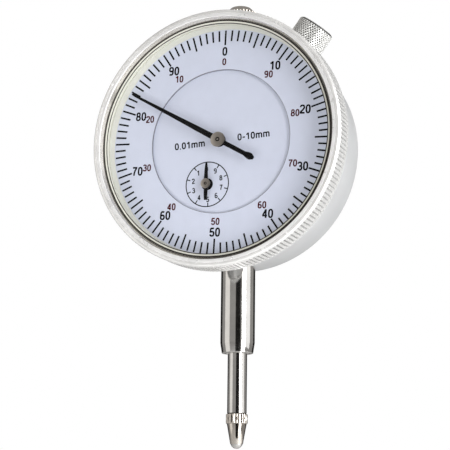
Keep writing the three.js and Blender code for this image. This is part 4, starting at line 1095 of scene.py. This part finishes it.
def cover_screws():
    """Countersunk screws with a slot, each slot left at its own angle."""
    head_r, shank_r, top, neck, end, edge = 1.35, 0.75, 6.36, 5.62, 3.4, 0.2
    profile = [(0, top), (head_r, top)] + arc((head_r, top - edge), edge, 90, 0, 3)
    profile += [(1.5, neck), (shank_r, neck), (shank_r, end), (0, end)]
    slot_size = Matrix.Diagonal((4 * MM, 0.9 * MM, 0.42 * MM, 1))
    for number, clock in enumerate(COVER_SCREW_CLOCKS, 1):
        centre = screw_centre(clock)
        mesh = turned(f"cover_screw_{number}_fine", profile, in_depth_at(centre), 48)
        piece = add_object(mesh, SCREW_STEEL, "case", f"cover_screw_{number}")
        slot = bpy.data.meshes.new("slot")
        shape = bmesh.new()
        turn = Matrix.Rotation(math.radians(25 * number), 4, "Y")
        place = Matrix.Translation(centre + Vector((0, top * MM, 0))) @ turn @ slot_size
        bmesh.ops.create_cube(shape, size=1.0, matrix=place)
        shape.to_mesh(slot)
        shape.free()
        combine(piece, loose(slot), "DIFFERENCE")


# ------------------------------------------------------------------ studio

STAGE_CENTRE = Vector((0, 0, 0.03))
FLOOR_Z = -0.25
FLOOR_GLOW = 0.42
ROOM_LIGHT = 0.32
CLOTH_BLACK = (0.01, 0.0097, 0.0094)


def camera():
    """Looks at the dial from the reader's right and from below, rolled a little."""
    yaw, pitch, roll = math.radians(21.29), math.radians(11.42), math.radians(0.68)
    target, distance = Vector((-3.48, 0.0, 21.66)) * MM, 349.1 * MM
    back = Vector((math.sin(yaw) * math.cos(pitch), -math.cos(yaw) * math.cos(pitch), -math.sin(pitch)))
    right = Vector((math.cos(yaw), math.sin(yaw), 0))
    up = back.cross(right)
    turned_right = right * math.cos(roll) + up * math.sin(roll)
    turned_up = up * math.cos(roll) - right * math.sin(roll)
    data = bpy.data.cameras.new("camera")
    data.lens = 117.8
    data.sensor_width = 36.0
    data.clip_start = 0.01
    piece = bpy.data.objects.new("camera", data)
    bpy.context.scene.collection.objects.link(piece)
    matrix = Matrix((turned_right, turned_up, back)).transposed().to_4x4()
    matrix.translation = target + back * distance
    piece.matrix_world = matrix
    bpy.context.scene.camera = piece


def around(azimuth, elevation, distance):
    """A place round the object. Azimuth 0 is in front of the dial, and 90 is at the reader's right."""
    turn, rise = math.radians(azimuth), math.radians(elevation)
    out = Vector((math.sin(turn) * math.cos(rise), -math.cos(turn) * math.cos(rise), math.sin(rise)))
    return STAGE_CENTRE + out * distance


def soft_box(name, azimuth, elevation, distance, width, height, radiance, colour=(1, 1, 1),
             mirrored=True, shadow=True):
    """A rectangular light that faces the object. Metal shows its reflection if it is mirrored."""
    data = bpy.data.lights.new(name, "AREA")
    data.shape = "RECTANGLE"
    data.size, data.size_y = width, height
    data.energy = radiance * math.pi * width * height
    data.color = colour
    data.use_shadow = shadow
    piece = bpy.data.objects.new(name, data)
    bpy.context.scene.collection.objects.link(piece)
    piece.location = around(azimuth, elevation, distance)
    piece.rotation_euler = (STAGE_CENTRE - piece.location).to_track_quat("-Z", "Y").to_euler()
    piece.visible_camera = False
    piece.visible_glossy = mirrored


def flat_sheet(name, corners, material):
    mesh = bpy.data.meshes.new(name)
    mesh.from_pydata(corners, [], [(0, 1, 2, 3)])
    mesh.materials.append(material)
    return loose(mesh)


def flag(name, azimuth, elevation, distance, width, height):
    """A dark card for the metal to mirror. The camera doesn't see it."""
    shader = Shader(f"{name}_cloth", CLOTH_BLACK, 0.0, 0.9)
    shader.vary_roughness(shader.noise(shader.position, CLOTH_SCALE), 0.05)
    half_w, half_h = width / 2, height / 2
    corners = [(-half_w, -half_h, 0), (half_w, -half_h, 0), (half_w, half_h, 0), (-half_w, half_h, 0)]
    card = flat_sheet(name, corners, shader.material)
    card.location = around(azimuth, elevation, distance)
    card.rotation_euler = (STAGE_CENTRE - card.location).to_track_quat("Z", "Y").to_euler()
    card.visible_camera = False
    card.visible_diffuse = False
    card.visible_shadow = False


def floor():
    """Pale paper that glows a little for the camera, and so doesn't light the metal from below."""
    shader = Shader("floor_paper", (0.82, 0.82, 0.82), 0.0, 0.85)
    shader.vary_roughness(shader.noise(shader.position, CLOTH_SCALE), 0.05)
    path = shader.node("ShaderNodeLightPath")
    shader.bsdf.inputs["Emission Color"].default_value = (1, 1, 1, 1)
    glow = shader.ramp(path.outputs["Is Camera Ray"], 0.0, FLOOR_GLOW, 0.0, 1.0)
    shader.links.new(glow, shader.bsdf.inputs["Emission Strength"])
    half = 3
    corners = [(-half, -half, FLOOR_Z), (half, -half, FLOOR_Z), (half, half, FLOOR_Z), (-half, half, FLOOR_Z)]
    paper = flat_sheet("floor", corners, shader.material)


def surroundings():
    """A white background for the camera, and a dimmer room for light and for what the metal mirrors."""
    world = bpy.data.worlds.new("studio")
    bpy.context.scene.world = world
    world.use_nodes = True
    nodes, links = world.node_tree.nodes, world.node_tree.links
    room = nodes["Background"]
    room.inputs["Color"].default_value = (1.0, 0.97, 0.94, 1)
    room.inputs["Strength"].default_value = ROOM_LIGHT
    white = nodes.new("ShaderNodeBackground")
    white.inputs["Color"].default_value = (1, 1, 1, 1)
    white.inputs["Strength"].default_value = 1.0
    mix = nodes.new("ShaderNodeMixShader")
    path = nodes.new("ShaderNodeLightPath")
    links.new(path.outputs["Is Camera Ray"], mix.inputs["Fac"])
    links.new(room.outputs[0], mix.inputs[1])
    links.new(white.outputs[0], mix.inputs[2])
    links.new(mix.outputs[0], nodes["World Output"].inputs["Surface"])
    bpy.context.scene.view_settings.view_transform = "Standard"


def studio():
    """The lights and dark cards: azimuth, elevation, distance, width and height of each, and a
    light's radiance."""
    soft_box("key", 62, -2, 0.55, 0.22, 0.58, 7.0)
    soft_box("right", 93, 10, 0.62, 0.40, 0.60, 0.8)
    soft_box("side", 95, 8, 0.62, 0.40, 0.40, 6.0, mirrored=False)
    soft_box("left", -54, 4, 0.62, 0.42, 0.64, 0.6, (1.0, 0.97, 0.93))
    soft_box("top", -10, 72, 0.62, 0.70, 0.60, 0.2)
    soft_box("fill", -18, -38, 0.19, 0.20, 0.16, 2.35, mirrored=False, shadow=False)
    flag("flag", 23, -4, 0.75, 0.46, 0.90)
    flag("flag_low", 23, -24, 0.45, 0.27, 0.30)
    flag("flag_behind_left", -130, 8, 0.70, 0.70, 0.60)
    flag("flag_behind_right", 170, 8, 0.70, 0.60, 0.60)
    floor()
    surroundings()


# ------------------------------------------------------------------ making it all

camera()
finish_cad_nodes()
bezel_ring()
bezel_knurl()
bezel_corner()
bezel_mouth()
crystal()
crystal_seat()
scale_ring()
scale_printing()
fixed_disc()
disc_printing()
hands()
case_body()
stem()
plunger()
contact_point()
contact_collar()
contact_ball()
top_cap()
clamp_knob()
back_cover()
cover_screws()
studio()
